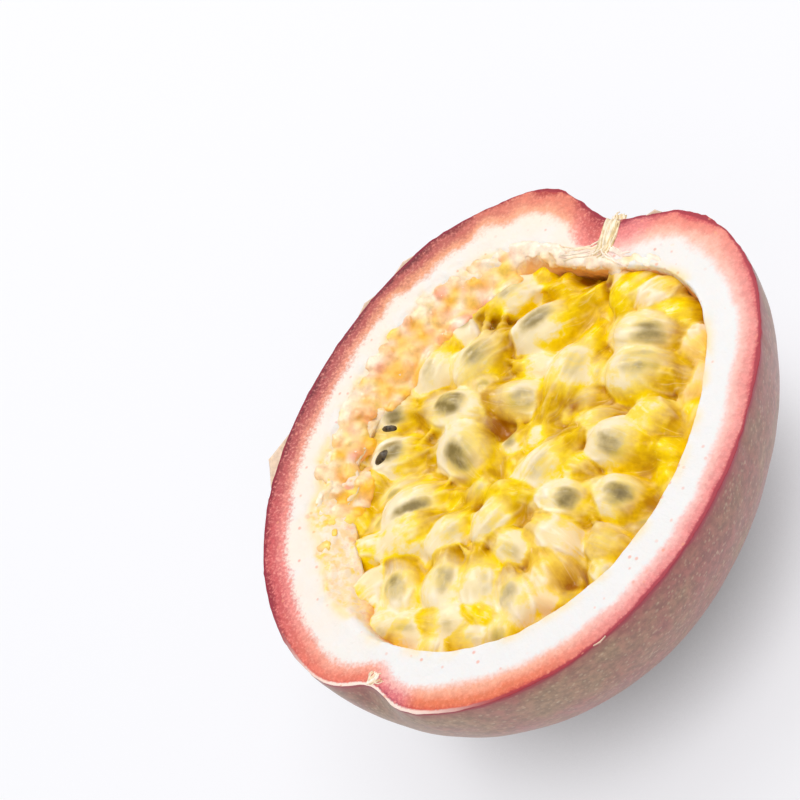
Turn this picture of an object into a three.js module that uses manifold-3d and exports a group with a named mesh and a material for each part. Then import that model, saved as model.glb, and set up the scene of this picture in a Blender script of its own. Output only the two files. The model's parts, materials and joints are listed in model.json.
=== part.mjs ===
// Half of a purple passion fruit, cut from stem to blossom end and lying on its back with the cut face up.
// Millimetres, +Z up out of the cut face, +Y towards the stem end. The origin is on the small flat spot that
// the fruit rests on, straight below its centre.
//
// Two solids: the shell, which is the rind with the pith under it, and the pulp, a heap of juice sacs.

import * as THREE from "three";
import { mergeVertices } from "three/addons/utils/BufferGeometryUtils.js";
import Module from "manifold-3d";

// The fruit's outline, as a distance from its centre at an angle measured from the stem end.
const MEAN_RADIUS = 31.2;
const STRETCH = 2.3; // how much longer than wide: added at the two ends, taken off at the sides
const STEM_LEAN = 0.6; // the stem half is this much the larger
const SHOULDER = { size: 1.1, at: 38, spread: 22 }; // the broad swelling round the stem
const STEM_DIMPLE = { size: -4.6, at: 0, spread: 12 };
const BLOSSOM_DIMPLE = { size: -2.2, at: 180, spread: 7 };

// The half as it lies.
const HEIGHT = 28.5; // from the flat spot to the cut face
const WALL = 6.6; // rind and pith together, on average
const WALL_SWELL = 0.7; // thicker by this at the ends and thinner at the sides
const STEM_LIP = { size: -3.6, at: 0, spread: 17 }; // pith that stands into the cavity below the stem

// The woody strand that runs in from the stem, laid bare by the cut: a long drop, half sunk in the pith.
const STRAND = { length: 8, width: 1.7, across: 0.6, along: 27.3, proud: 0.25 };

// A curl of skin that stands off the rim on the left, as a thin triangle.
const CURL = { reach: 1.2, width: 6.5, thick: 0.5, root: 0.8, at: 106, below: 0.8 };

// The pulp.
const CLEARANCE = 0.3; // between the pulp and the cavity wall
const BED_DEPTH = 3.7; // from the cut face down to the bed that the sacs lie on
const SAC_DROP = 0.7; // from the cut face down to the top of the highest sacs
const SAC_WIDTH = 0.62; // of a sac's length
const SAC_HEIGHT = 0.5;
const SEED_END_SWELL = 0.22; // a sac is fatter at its seed end and thinner at its tail

// Sacs that lie on top: across, along, heading of the seed end in degrees from +X, length.
const TOP_SACS = [
  [-9.4, 19, 49, 8.5],
  [-2.9, 17.2, 232, 11],
  [-14.9, 9.7, 267, 8.5],
  [-9.7, 11.7, 243, 10],
  [2.9, 9.9, 68, 10.5],
  [-5.8, 5.1, 209, 11],
  [-17.3, 1.5, 215, 7.5],
  [-13.5, -2.5, 207, 9.5],
  [-4.9, -1.3, 331, 11.5],
  [5.8, 0.2, 250, 10.5],
  [11.5, 17.5, 188, 11],
  [12.6, 13.1, 185, 11.5],
  [14.1, 3.5, 194, 10.5],
  [16.4, 7.2, 164, 8.5],
  [10.6, -4.4, 179, 8.5],
  [17, -2.6, 182, 9.5],
  [-8.2, -8.3, 232, 11.5],
  [-7.3, -12, 228, 9.5],
  [2.6, -7.3, 237, 8.5],
  [-5.9, -18, 307, 9.5],
  [-0.8, -15.6, 294, 9.5],
  [3.4, -14.2, 305, 10],
  [9.6, -16.7, 314, 8],
  [-2, -22.2, 11, 8.5],
  [6.3, -21, 21, 8.5],
  [12, -13.4, 317, 9.5],
  [10.3, -8.1, 344, 9.5],
  [-2.3, 21.6, 30, 7.5],
  [6.7, 21.6, 62, 7.5],
];

// Sacs between them, spread evenly by the turn that seeds in a sunflower head take.
const LOW_SAC_SPOTS = 96;
const LOW_SAC_LENGTH = 7.8;
const LOW_SAC_DROP = 1.7;
const LOW_SAC_ROOM = 3.9; // a spot this near a sac that is already there stays empty
const GOLDEN_TURN = 137.5;

// How finely the round shapes are faceted.
const OUTER_STEPS = 44;
const OUTER_SIDES = 68;
const CAVITY_STEPS = 30;
const CAVITY_SIDES = 48;
const SAC_SIDES = 8;
const SAC_STEPS = 6;
const STRAND_SIDES = 8;
const POLE_CROWDING = 0.45; // 0 spaces the steps evenly, towards 1 crowds them at the stem and blossom ends
const SPAN = 100; // wider than the fruit, for the blocks that trim it

const SKIN_COLOUR = 0x6f4a50;
const PULP_COLOUR = 0xe8b21c;

const wasm = await Module();
wasm.setup();

const radians = THREE.MathUtils.degToRad;

function bump({ size, at, spread }, degrees) {
  const away = (degrees - at) / spread;
  return size * Math.exp(-away * away);
}

function plainOutline(degrees) {
  return (
    MEAN_RADIUS +
    STRETCH * Math.cos(radians(2 * degrees)) +
    STEM_LEAN * Math.cos(radians(degrees)) +
    bump(SHOULDER, degrees)
  );
}

function skinRadius(degrees) {
  return plainOutline(degrees) + bump(STEM_DIMPLE, degrees) + bump(BLOSSOM_DIMPLE, degrees);
}

function cavityRadius(degrees) {
  const wall = WALL + WALL_SWELL * Math.cos(radians(2 * degrees));
  return plainOutline(degrees) - wall + bump(STEM_LIP, degrees);
}

function solidOf(geometry) {
  const bare = geometry.clone();
  bare.deleteAttribute("normal");
  bare.deleteAttribute("uv");
  const merged = mergeVertices(bare, 1e-4);
  return new wasm.Manifold(
    new wasm.Mesh({
      numProp: 3,
      vertProperties: merged.attributes.position.array,
      triVerts: new Uint32Array(merged.index.array),
    }),
  );
}

function geometryOf(solid) {
  const mesh = solid.getMesh();
  const geometry = new THREE.BufferGeometry();
  geometry.setAttribute("position", new THREE.BufferAttribute(mesh.vertProperties, 3));
  geometry.setIndex(new THREE.BufferAttribute(mesh.triVerts, 1));
  geometry.computeVertexNormals();
  return geometry;
}

// A whole round body about the Y axis, from its radius at each angle from the stem end.
function spun(radiusAt, steps, sides) {
  const profile = [];
  for (let i = 0; i <= steps; i++) {
    const t = i / steps;
    const crowded = t - (POLE_CROWDING * Math.sin(2 * Math.PI * t)) / (2 * Math.PI);
    const degrees = 180 * (1 - crowded);
    const radius = radiusAt(degrees);
    const onAxis = i === 0 || i === steps;
    const out = onAxis ? 0 : radius * Math.sin(radians(degrees));
    profile.push(new THREE.Vector2(out, radius * Math.cos(radians(degrees))));
  }
  return solidOf(new THREE.LatheGeometry(profile, sides));
}

// What lies between two heights, measured from the cut face.
function layer(low, high) {
  const block = new THREE.BoxGeometry(SPAN, SPAN, high - low);
  block.translate(0, 0, (low + high) / 2);
  return solidOf(block);
}

function stemStrand() {
  const strand = new THREE.SphereGeometry(1, STRAND_SIDES, SAC_STEPS);
  strand.rotateX(-Math.PI / 2);
  strand.scale(STRAND.width / 2, STRAND.length / 2, STRAND.width / 2);
  strand.translate(STRAND.across, STRAND.along, STRAND.proud - STRAND.width / 2);
  return solidOf(strand);
}

function skinCurl() {
  const outline = new THREE.Shape();
  outline.moveTo(CURL.root, -CURL.width / 2);
  outline.lineTo(CURL.root, CURL.width / 2);
  outline.lineTo(-CURL.reach, CURL.width / 6);
  const curl = new THREE.ExtrudeGeometry(outline, { depth: CURL.thick, bevelEnabled: false });
  curl.rotateZ(radians(CURL.at - 90));
  const radius = skinRadius(CURL.at);
  const across = -radius * Math.sin(radians(CURL.at));
  const along = radius * Math.cos(radians(CURL.at));
  curl.translate(across, along, -CURL.below - CURL.thick);
  return solidOf(curl);
}

function shellSolid() {
  const half = spun(skinRadius, OUTER_STEPS, OUTER_SIDES).intersect(layer(-HEIGHT, 0));
  const cup = half.subtract(spun(cavityRadius, CAVITY_STEPS, CAVITY_SIDES));
  return cup.add(stemStrand()).add(skinCurl());
}

// A juice sac: a drop that lies along its heading, with its top at the given drop below the cut face.
function sac(across, along, heading, length, drop) {
  const drop3d = new THREE.SphereGeometry(1, SAC_SIDES, SAC_STEPS);
  drop3d.rotateZ(-Math.PI / 2);
  const point = drop3d.attributes.position;
  for (let i = 0; i < point.count; i++) {
    const swell = 1 + SEED_END_SWELL * point.getX(i);
    point.setXYZ(i, point.getX(i), point.getY(i) * swell, point.getZ(i) * swell);
  }
  drop3d.scale(length / 2, (length * SAC_WIDTH) / 2, (length * SAC_HEIGHT) / 2);
  drop3d.rotateZ(radians(heading));
  drop3d.translate(across, along, -drop - (length * SAC_HEIGHT) / 2);
  return solidOf(drop3d);
}

function lowSacs() {
  const taken = TOP_SACS.map(([across, along]) => [across, along]);
  const found = [];
  for (let i = 0; i < LOW_SAC_SPOTS; i++) {
    const share = Math.sqrt((i + 0.5) / LOW_SAC_SPOTS);
    const turn = GOLDEN_TURN * i;
    const reach = share * cavityRadius(turn % 360 > 180 ? 360 - (turn % 360) : turn % 360);
    const across = reach * Math.sin(radians(turn));
    const along = reach * Math.cos(radians(turn));
    const crowded = taken.some(([x, y]) => Math.hypot(x - across, y - along) < LOW_SAC_ROOM);
    if (!crowded) {
      taken.push([across, along]);
      found.push([across, along, 270 - turn, LOW_SAC_LENGTH]);
    }
  }
  return found;
}

// The body without the small hollows and loose scraps that joining many pieces can leave.
function wholeBody(solid) {
  return solid.decompose().reduce((best, body) => (body.volume() > best.volume() ? body : best));
}

function pulpSolid() {
  const room = spun((degrees) => cavityRadius(degrees) - CLEARANCE, CAVITY_STEPS, CAVITY_SIDES);
  const pieces = [layer(-HEIGHT, -BED_DEPTH)];
  TOP_SACS.forEach((place) => pieces.push(sac(...place, SAC_DROP)));
  lowSacs().forEach((place) => pieces.push(sac(...place, LOW_SAC_DROP)));
  return wholeBody(wasm.Manifold.union(pieces).intersect(room));
}

function node(name, solid, colour, roughness) {
  const material = new THREE.MeshStandardMaterial({ color: colour, roughness, metalness: 0 });
  const mesh = new THREE.Mesh(geometryOf(solid), material);
  mesh.name = name;
  return mesh;
}

const fruitHalf = new THREE.Group();
fruitHalf.position.z = HEIGHT;
fruitHalf.add(node("shell", shellSolid(), SKIN_COLOUR, 0.55));
fruitHalf.add(node("pulp", pulpSolid(), PULP_COLOUR, 0.2));

export default fruitHalf;
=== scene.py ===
"""Half of a purple passion fruit, cut from stem to blossom end and lying cut face up.

Laid out as a Blender add-on and run as a script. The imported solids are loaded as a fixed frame, and each
operator below makes one piece, or one group of like pieces, round them. Shapes are worked out in mm from the
middle of the cut face, and placed in the frame's metres at the end. Colours are sRGB hex.
"""

import json
import math
import random

import bmesh
import bpy
import numpy as np
from bpy.props import BoolProperty, FloatProperty, FloatVectorProperty, IntProperty, PointerProperty
from bpy.types import Operator, Panel, PropertyGroup
from mathutils import Matrix, Vector, noise
from mathutils.bvhtree import BVHTree

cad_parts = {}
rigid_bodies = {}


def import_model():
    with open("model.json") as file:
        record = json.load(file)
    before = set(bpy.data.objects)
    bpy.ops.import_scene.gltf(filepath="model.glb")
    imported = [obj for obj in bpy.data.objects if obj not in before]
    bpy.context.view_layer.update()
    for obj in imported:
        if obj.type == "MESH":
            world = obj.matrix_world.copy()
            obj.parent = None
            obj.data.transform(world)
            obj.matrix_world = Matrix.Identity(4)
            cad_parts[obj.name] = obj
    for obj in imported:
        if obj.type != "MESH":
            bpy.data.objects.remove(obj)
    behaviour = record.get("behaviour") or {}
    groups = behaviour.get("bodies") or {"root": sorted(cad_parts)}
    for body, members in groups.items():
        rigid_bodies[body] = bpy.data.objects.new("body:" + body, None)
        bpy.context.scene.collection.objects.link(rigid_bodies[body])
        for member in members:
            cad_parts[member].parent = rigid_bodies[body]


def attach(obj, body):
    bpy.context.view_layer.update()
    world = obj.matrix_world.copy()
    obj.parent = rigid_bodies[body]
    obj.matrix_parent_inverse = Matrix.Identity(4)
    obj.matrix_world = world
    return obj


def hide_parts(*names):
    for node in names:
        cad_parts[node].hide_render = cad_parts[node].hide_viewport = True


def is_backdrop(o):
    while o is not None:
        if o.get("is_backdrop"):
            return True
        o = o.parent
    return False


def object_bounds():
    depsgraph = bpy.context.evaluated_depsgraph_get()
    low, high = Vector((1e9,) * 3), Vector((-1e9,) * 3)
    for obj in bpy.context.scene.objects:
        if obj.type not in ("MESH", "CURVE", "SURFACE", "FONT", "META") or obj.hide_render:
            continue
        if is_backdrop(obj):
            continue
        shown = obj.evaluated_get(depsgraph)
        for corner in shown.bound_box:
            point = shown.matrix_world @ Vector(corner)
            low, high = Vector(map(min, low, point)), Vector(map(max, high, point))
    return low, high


bl_info = {
    "name": "Passion fruit half",
    "version": (1, 0, 0),
    "blender": (4, 5, 0),
    "location": "3D View > Sidebar > Passion fruit",
    "description": "Makes the looks of a cut passion fruit round its packed solids",
    "category": "Add Mesh",
}

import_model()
CAD_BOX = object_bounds()

MM = 0.001
BODY = "root"

# The fruit's outline, as in part.mjs: a distance from its centre, in mm, at an angle from the stem end.
CUT_HEIGHT = 28.5
MEAN_RADIUS = 31.2
STRETCH = 2.3
STEM_LEAN = 0.6
SHOULDER = {"size": 1.1, "at": 38, "spread": 22}
STEM_DIMPLE = {"size": -4.6, "at": 0, "spread": 12}
BLOSSOM_DIMPLE = {"size": -2.2, "at": 180, "spread": 7}
WALL = 6.6
WALL_SWELL = 0.7
STEM_LIP = {"size": -3.6, "at": 0, "spread": 17}
# What the solids leave out: the stem sits a little to the right, and the left shoulder stands higher.
STEM_TURN = 2.3
LEFT_SHOULDER = {"size": 0.7, "turn": -17, "spread": 8}
LEFT_EDGE_SHIFT = 0.5  # the soft edge on the left starts this much further in
# On the left, spongy tissue slopes from that edge down to the sacs before it falls back to the cavity's wall.
SHELF_WIDTH = 4.4
SHELF_SLOPE = (0.9, 0.43)  # inward and down, for each mm
SHELF_RETURN = (-0.35, 0.94)

# Juice sacs that lie on top, in mm: across, along, heading of the seed end in degrees from +X, length, depth of
# the top below the cut face, how dark the seed shows (0 to 1), and tone: 0 is pale jelly, 1 yellow, 2 amber,
# and below 0 peach flesh.
TOP_SACS = (
    (-9.4, 19, 45, 8.5, 0.9, 0.55, 0.25),
    (-2.2, 16.9, 226, 11, 0.7, 0.7, 0.1),
    (-14.7, 14.9, 320, 7.5, 1.8, 0.6, 0.2),
    (-14.7, 9.5, 270, 8.5, 1.2, 0.35, 0),
    (-9, 11.5, 242, 10, 0.8, 0.7, 0.75),
    (-2.3, 11.4, 10, 6.5, 2.2, 0.15, 0.2),
    (3.1, 9.8, 85, 10.5, 0.9, 0.35, 0.3),
    (11.6, 17, 186, 11, 0.8, 0.85, 0.8),
    (13.2, 12.3, 183, 12, 0.5, 0.7, 0.6),
    (11.8, 20.4, 205, 7.5, 1.2, 0, 1),
    (-10, 3.9, 5, 10.5, 1, 0.9, 0.4),
    (-2.6, 6.5, 7, 9.5, 1.2, 0.75, 0.5),
    (-4.2, -1.4, 150, 12, 0.6, 0.95, 0.3),
    (0.2, 1.4, 250, 5.5, 2.1, 1, 0),
    (5.9, 0, 247, 10, 0.7, 0.3, 0.45),
    (-17.3, 1.9, 204, 7.5, 1.8, 1, 0),
    (-13.9, -2.5, 205, 9, 1.6, 1, 0.1),
    (-8.1, -8.5, 228, 11, 1.2, 0.9, 0.05),
    (-7.1, -11.7, 228, 9.5, 0.9, 0.15, 0.3),
    (3.1, -7.6, 242, 8.5, 0.8, 0.35, 0.35),
    (10.7, -4.7, 175, 8.5, 1.1, 1, 0.35),
    (17.2, -2.9, 175, 9.5, 1.2, 1, 0.6),
    (14.2, 3.2, 175, 10.5, 0.8, 0.6, 0.2),
    (16.7, 6.8, 168, 8, 1, 0.15, 0.7),
    (19.8, 3.3, 170, 6, 1.6, 0, 1.2),
    (-5.7, -17.9, 300, 9, 1.6, 0.7, 0.6),
    (0, -16.3, 291, 9.5, 1, 0.55, 0.3),
    (4.2, -15.4, 305, 10, 0.9, 0.3, 0.2),
    (9.2, -16.2, 311, 8.5, 1.2, 0.5, 0.4),
    (12.2, -13.2, 318, 9.5, 1.1, 0, -0.35),
    (2.3, -20.8, 12, 8, 1.4, 0.3, 0),
    (-2.4, -22.7, 13, 8.5, 2, 0.4, 0.3),
    (6.3, -19.3, 350, 5, 1.2, 0, 1.1),
    (6.4, -21.6, 20, 7.5, 1.8, 0.3, 0.2),
    (-2.2, -10.6, 245, 8.5, 1.2, 0.35, 0.2),
    (5.6, -10.7, 345, 7, 1.3, 0.35, 0.4),
    (10.2, -8.6, 342, 9, 1.1, 0.1, -0.25),
    (3.4, -5.2, 190, 6, 0.8, 0, 1.2),
    (-2.2, 22.2, 30, 7, 1.5, 0, 1.3),
    (2.1, 22, 230, 4.5, 2, 0, 1.2),
    (7.2, 22.4, 235, 8, 0.5, 0, 1),
    (4.4, 24, 265, 5, 0.6, 0, -0.4),
    (10.8, 22.2, 225, 7, 0.4, 0, -0.3),
    (14.2, 19.8, 205, 8, 1.1, 0, 0.8),
    (17, 16.8, 150, 8, 1.7, 0, -0.5),
    (18.8, 12.4, 100, 9, 2.3, 0, -0.5),
    (20.6, 7.8, 95, 9, 2.4, 0, 1.2),
    (-5.8, -23.6, 40, 7, 1.5, 0.35, 0.2),
    (-9.6, -19.8, 60, 7.5, 1.4, 0.15, 0.1),
    (-12.4, -15.4, 40, 7, 1.6, 0, 0.5),
    (-15.9, -11.3, 330, 6, 2, 0, 1.1),
    (-16.8, -6.9, 350, 6, 2, 0, 1.5),
)
# Sacs between and under them, spread by the turn that seeds in a sunflower head take.
LOW_SAC_SPOTS = 110
LOW_SAC_LENGTH = 7.8
LOW_SAC_DROP = 1.9
LOW_SAC_ROOM = 3.4
GOLDEN_TURN = 137.5
SAC_WIDTH = 0.6
SAC_HEIGHT = 0.5
SEED_END_SWELL = 0.24
SEED = {"along": 0.16, "length": 0.21, "width": 0.14, "height": 0.11, "cover": 0.2, "veil_ahead": 0.22}
# A seed is painted darkest on this side, as painted shade, and the skin round it is painted milky on the other,
# partly its own haze and partly painted sheen on the lit side. Looking into a sac takes steps of this many mm.
SHADED_SIDE = (0.91, -0.41, 0)
LOOK = {"from": 0.1, "step": 0.3, "steps": 9}
# How much more amber each of these makes the juice that shows. The tail and the taut skin between sacs are amber
# by their own juice; low places, steep sides and hollows are painted shade, partly juice seen through more of
# itself.
AMBER_AND_SHADE = {"tail": 1.4, "between": 0.5, "low": 0.9, "side": 0.5, "hollow": 1.7}
# Taut cords of skin between the sacs: how thick they are, how much thinner halfway, how far apart the sacs are
# that they join, how far they sag and how far they bend aside, in mm.
CORD = {"thick": (0.55, 0.85), "waist": 0.3, "nearest": 2.5, "furthest": 10, "sag": (0.1, 0.7), "bend": 0.6}
BED_DEPTH = 3.5
PULP_CUT = 8.5
TAUT_ROUNDS = 30
# Spots that stay deep: across, along, radius and how much deeper, in mm. The juice in them is painted darker amber,
# a painted shade.
HOLLOWS = (
    (-2.8, 2.9, 2.7, 0.4),
    (5.6, 6.7, 1.3, 0.6),
    (-0.4, 23.3, 1.4, 2.0),
    (3.4, 22.4, 0.8, 1.2),
    (14.6, -13.2, 1.8, 2.4),
    (-12.6, -16.9, 0.7, 0.9),
    (-7.4, -23.0, 0.8, 0.7),
    (-15.6, 11.8, 0.7, 0.5),
)

# How the cut rim's blush changes round the fruit: degrees clockwise from the stem end, degrees that it spreads,
# the rind's colour under the skin, halfway and at the pith, its depth in mm, and how gritty it is (0 to 1).
# The stops on the left, from -46 to -134 degrees, are darker: partly the rind's own colour, partly painted shade as
# from a fruit lying beside the half on that side.
BLUSH = (
    (-18, 16, "#b83c38", "#e4846a", "#f3a684", 3.9, 0.5),
    (-46, 20, "#6e2228", "#b65850", "#e69c74", 3.7, 0.7),
    (-92, 24, "#782730", "#b05250", "#e2927a", 3.4, 1.0),
    (-134, 22, "#962432", "#cc585a", "#e68882", 3.2, 0.9),
    (-168, 14, "#d25c50", "#e47a62", "#efa28a", 2.9, 0.5),
    (152, 18, "#c83c30", "#e0744c", "#f0a88a", 3.1, 0.3),
    (112, 24, "#cc5c62", "#e48e8a", "#f2b8b0", 2.5, 0.3),
    (60, 26, "#d05a5e", "#e8948c", "#f4bcb0", 2.8, 0.3),
    (24, 12, "#cc4c50", "#ea8876", "#f6b8a2", 3.8, 0.4),
    (-2, 3.5, "#a23038", "#cc5c58", "#ee8c84", 5.0, 1.0),
    (7, 3.5, "#b24a56", "#e4807e", "#f6b2a8", 4.6, 0.6),
    (177, 3.0, "#a03050", "#d87078", "#f0b8b0", 2.8, 0.8),
)
NARROW_BLUSH = 6  # how much more a narrow stop counts where it is
# Painted highlight: the skin's cut edge is painted pale at the blossom end, where its rounded edge catches the
# light.
PALE_EDGE = {"turn": -178, "spread": 22}  # where the skin's cut edge shows pale


# --- Small tools --------------------------------------------------------------------------------------------


def linear(hex_colour):
    """The linear RGBA of an sRGB hex colour."""
    channels = [int(hex_colour[i : i + 2], 16) / 255 for i in (1, 3, 5)]
    return (*[c / 12.92 if c <= 0.04045 else ((c + 0.055) / 1.055) ** 2.4 for c in channels], 1.0)


def add(tree, kind, out=None, inputs=(), **settings):
    """Adds a shader node with its settings. Each input is a value, or an output socket to link from, given by
    name in a dict or in order in a tuple. Returns the output socket that is named, or the node."""
    made = tree.nodes.new("ShaderNode" + kind)
    for name, value in settings.items():
        setattr(made, name, value)
    if not isinstance(inputs, dict):
        in_use = [index for index, socket in enumerate(made.inputs) if socket.enabled]
        inputs = dict(zip(in_use, inputs))
    for name, value in inputs.items():
        if isinstance(value, bpy.types.NodeSocket):
            tree.links.new(value, made.inputs[name])
        else:
            made.inputs[name].default_value = value
    return made if out is None else made.outputs[out]


def new_material(name):
    """An empty node material, its tree, and the socket that gives each point's place."""
    material = bpy.data.materials.new(name)
    material.use_nodes = True
    material.node_tree.nodes.clear()
    return material, material.node_tree, add(material.node_tree, "TexCoord", "Object")


def colour_property(name, description, hex_colour):
    return FloatVectorProperty(
        name=name, description=description, subtype="COLOR", size=4, min=0, max=1, default=linear(hex_colour)
    )


def length_property(name, description, millimetres):
    return FloatProperty(name=name, description=description, unit="LENGTH", min=0, default=millimetres * MM)


def place(name, mesh, *materials, slot, replaces=None):
    """Makes a piece of a mesh that is in mm from the middle of the cut face. It rides on the fruit."""
    set_positions(mesh, (positions(mesh) + [0, 0, CUT_HEIGHT]) * MM)
    mesh.name = name
    piece = bpy.data.objects.new(name, mesh)
    bpy.context.scene.collection.objects.link(piece)
    for material in materials:
        mesh.materials.append(material)
    mesh.polygons.foreach_set("use_smooth", [True] * len(mesh.polygons))
    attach(piece, BODY)
    if replaces:
        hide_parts(replaces)
    return piece


def to_mesh(bm, name):
    """The mesh of a bmesh, which is freed."""
    mesh = bpy.data.meshes.new(name)
    bm.to_mesh(mesh)
    bm.free()
    return mesh


def join(whole, part):
    """Adds a bmesh to a larger one, and frees it."""
    mesh = to_mesh(part, "part")
    whole.from_mesh(mesh)
    bpy.data.meshes.remove(mesh)


def positions(mesh):
    values = np.empty(len(mesh.vertices) * 3)
    mesh.vertices.foreach_get("co", values)
    return values.reshape(-1, 3)


def normals(mesh):
    values = np.empty(len(mesh.vertices) * 3)
    mesh.vertices.foreach_get("normal", values)
    return values.reshape(-1, 3)


def set_positions(mesh, points):
    mesh.vertices.foreach_set("co", np.asarray(points, dtype=np.float32).ravel())
    mesh.update()


def paint(mesh, name, values):
    """Stores one number, or three, for each vertex as a named attribute."""
    values = np.asarray(values, dtype=np.float32)
    kind, key = ("FLOAT", "value") if values.ndim == 1 else ("FLOAT_VECTOR", "vector")
    attribute = mesh.attributes.get(name) or mesh.attributes.new(name, kind, "POINT")
    attribute.data.foreach_set(key, values.ravel())


def roughen(points, scale, octaves=2):
    """Soft noise from about -1 to 1 at each point, with lumps about one scale apart."""
    return np.array([noise.fractal(p, 0.9, 2.0, octaves) for p in (np.asarray(points) / scale).tolist()])


def smoothstep(low, high, values):
    share = np.clip((values - low) / (high - low), 0, 1)
    return share * share * (3 - 2 * share)


def averager(mesh):
    """A function that gives, for each vertex, the mean of its neighbours' values."""
    edges = np.empty(len(mesh.edges) * 2, dtype=np.int64)
    mesh.edges.foreach_get("vertices", edges)
    a, b = edges.reshape(-1, 2).T
    count = len(mesh.vertices)
    degree = np.maximum(np.bincount(a, minlength=count) + np.bincount(b, minlength=count), 1)

    def mean(values):
        columns = values.reshape(count, -1).T
        sums = [np.bincount(a, column[b], count) + np.bincount(b, column[a], count) for column in columns]
        return (np.stack(sums, axis=1) / degree[:, None]).reshape(values.shape)

    return mean


def spread_over_edges(mesh, values, rounds):
    """Averages per-vertex values with their neighbours', a few times over."""
    mean = averager(mesh)
    for _ in range(rounds):
        values = 0.5 * values + 0.5 * mean(values)
    return values


def fuse(bm, grain):
    """Fuses what a bmesh holds into one skin, with voxels of that size."""
    mesh = to_mesh(bm, "fusing")
    lump = bpy.data.objects.new("fusing", mesh)
    bpy.context.scene.collection.objects.link(lump)
    remesh = lump.modifiers.new("fuse", "REMESH")
    remesh.mode, remesh.voxel_size = "VOXEL", grain
    made = bpy.data.meshes.new_from_object(lump.evaluated_get(bpy.context.evaluated_depsgraph_get()))
    bpy.data.objects.remove(lump)
    bpy.data.meshes.remove(mesh)
    return made


def tubes(name, paths, sides=1):
    """One mesh of round tubes. Each path is a list of points with the tube's radius there."""
    curve = bpy.data.curves.new(name, "CURVE")
    curve.dimensions, curve.bevel_depth, curve.bevel_resolution, curve.use_fill_caps = "3D", 1, sides, True
    for path in paths:
        spline = curve.splines.new("POLY")
        spline.points.add(len(path) - 1)
        for point, (spot, radius) in zip(spline.points, path):
            point.co, point.radius = (*spot, 1), radius
    holder = bpy.data.objects.new(name, curve)
    bpy.context.scene.collection.objects.link(holder)
    made = bpy.data.meshes.new_from_object(holder.evaluated_get(bpy.context.evaluated_depsgraph_get()))
    bpy.data.objects.remove(holder)
    bpy.data.curves.remove(curve)
    return made


def top_of(*piece_names):
    """A function that gives the pieces' height at a place, in mm from the cut face, and the normal there."""
    depsgraph = bpy.context.evaluated_depsgraph_get()
    trees = [BVHTree.FromObject(bpy.data.objects[name], depsgraph) for name in piece_names]

    def top(x, y):
        hits = [tree.ray_cast(Vector((x, y, 2 * CUT_HEIGHT)) * MM, Vector((0, 0, -1)))[:2] for tree in trees]
        hits = [(spot.z / MM - CUT_HEIGHT, normal) for spot, normal in hits if spot is not None]
        return max(hits, key=lambda hit: hit[0], default=(-CUT_HEIGHT, Vector((0, 0, 1))))

    return top


# --- The fruit's outline ------------------------------------------------------------------------------------


def bump(shape, degrees):
    return shape["size"] * np.exp(-(((degrees - shape["at"]) / shape["spread"]) ** 2))


def angle_to(directions, turn):
    """Degrees between each direction and the one in the cut face that is turned so far from the stem end."""
    axis = np.array([math.sin(math.radians(turn)), math.cos(math.radians(turn)), 0])
    return np.degrees(np.arccos(np.clip(directions @ axis, -1, 1)))


def plain_radius(degrees):
    swing = np.radians(degrees)
    return MEAN_RADIUS + STRETCH * np.cos(2 * swing) + STEM_LEAN * np.cos(swing) + bump(SHOULDER, degrees)


def skin_radius(directions):
    """Distance in mm from the fruit's centre to its skin."""
    from_stem = angle_to(directions, STEM_TURN)
    left = {"at": 0, **LEFT_SHOULDER}
    return (
        plain_radius(angle_to(directions, 0))
        + bump(STEM_DIMPLE, from_stem)
        + bump(BLOSSOM_DIMPLE, from_stem)
        + bump(left, angle_to(directions, LEFT_SHOULDER["turn"]))
    )


def cavity_radius(directions):
    """Distance in mm from the fruit's centre to the cavity's wall."""
    degrees = angle_to(directions, 0)
    wall = WALL + WALL_SWELL * np.cos(np.radians(2 * degrees))
    return plain_radius(degrees) - wall + bump(STEM_LIP, angle_to(directions, STEM_TURN))


def spread_directions(turn, down):
    """Unit directions for angles round from the stem end and down from the cut face, in degrees."""
    turn, down = np.radians(turn), np.radians(down)
    return np.stack([np.sin(turn) * np.cos(down), np.cos(turn) * np.cos(down), -np.sin(down)], axis=-1)


def turn_away(turn, middle):
    """Degrees from -180 to 180 between two angles round the fruit."""
    return (turn - middle + 180) % 360 - 180


# --- Sizes and colours --------------------------------------------------------------------------------------


class FruitSizes(PropertyGroup):
    """Sizes that a user may want to change."""

    soft_edge: length_property("Soft edge", "Rounding of the cavity's edge on the left", 1.8)
    crisp_edge: length_property("Crisp edge", "Rounding of the cavity's edge on the right", 0.3)
    skin_edge: length_property("Skin edge", "Rounding of the skin's cut edge", 0.14)
    lining_grain: length_property("Lining grain", "Height of the lining's spongy grain", 0.4)
    pulp_grain: length_property("Pulp grain", "Side of the voxels that the pulp is fused with", 0.235)
    lump_grain: length_property("Lump grain", "Side of the voxels that the lumps are fused with", 0.17)
    lumps: IntProperty(name="Lumps", description="How many lumps the lining carries", min=0, default=460)
    wet: BoolProperty(name="Wet", description="Gives the pulp a film of juice", default=True)


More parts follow.
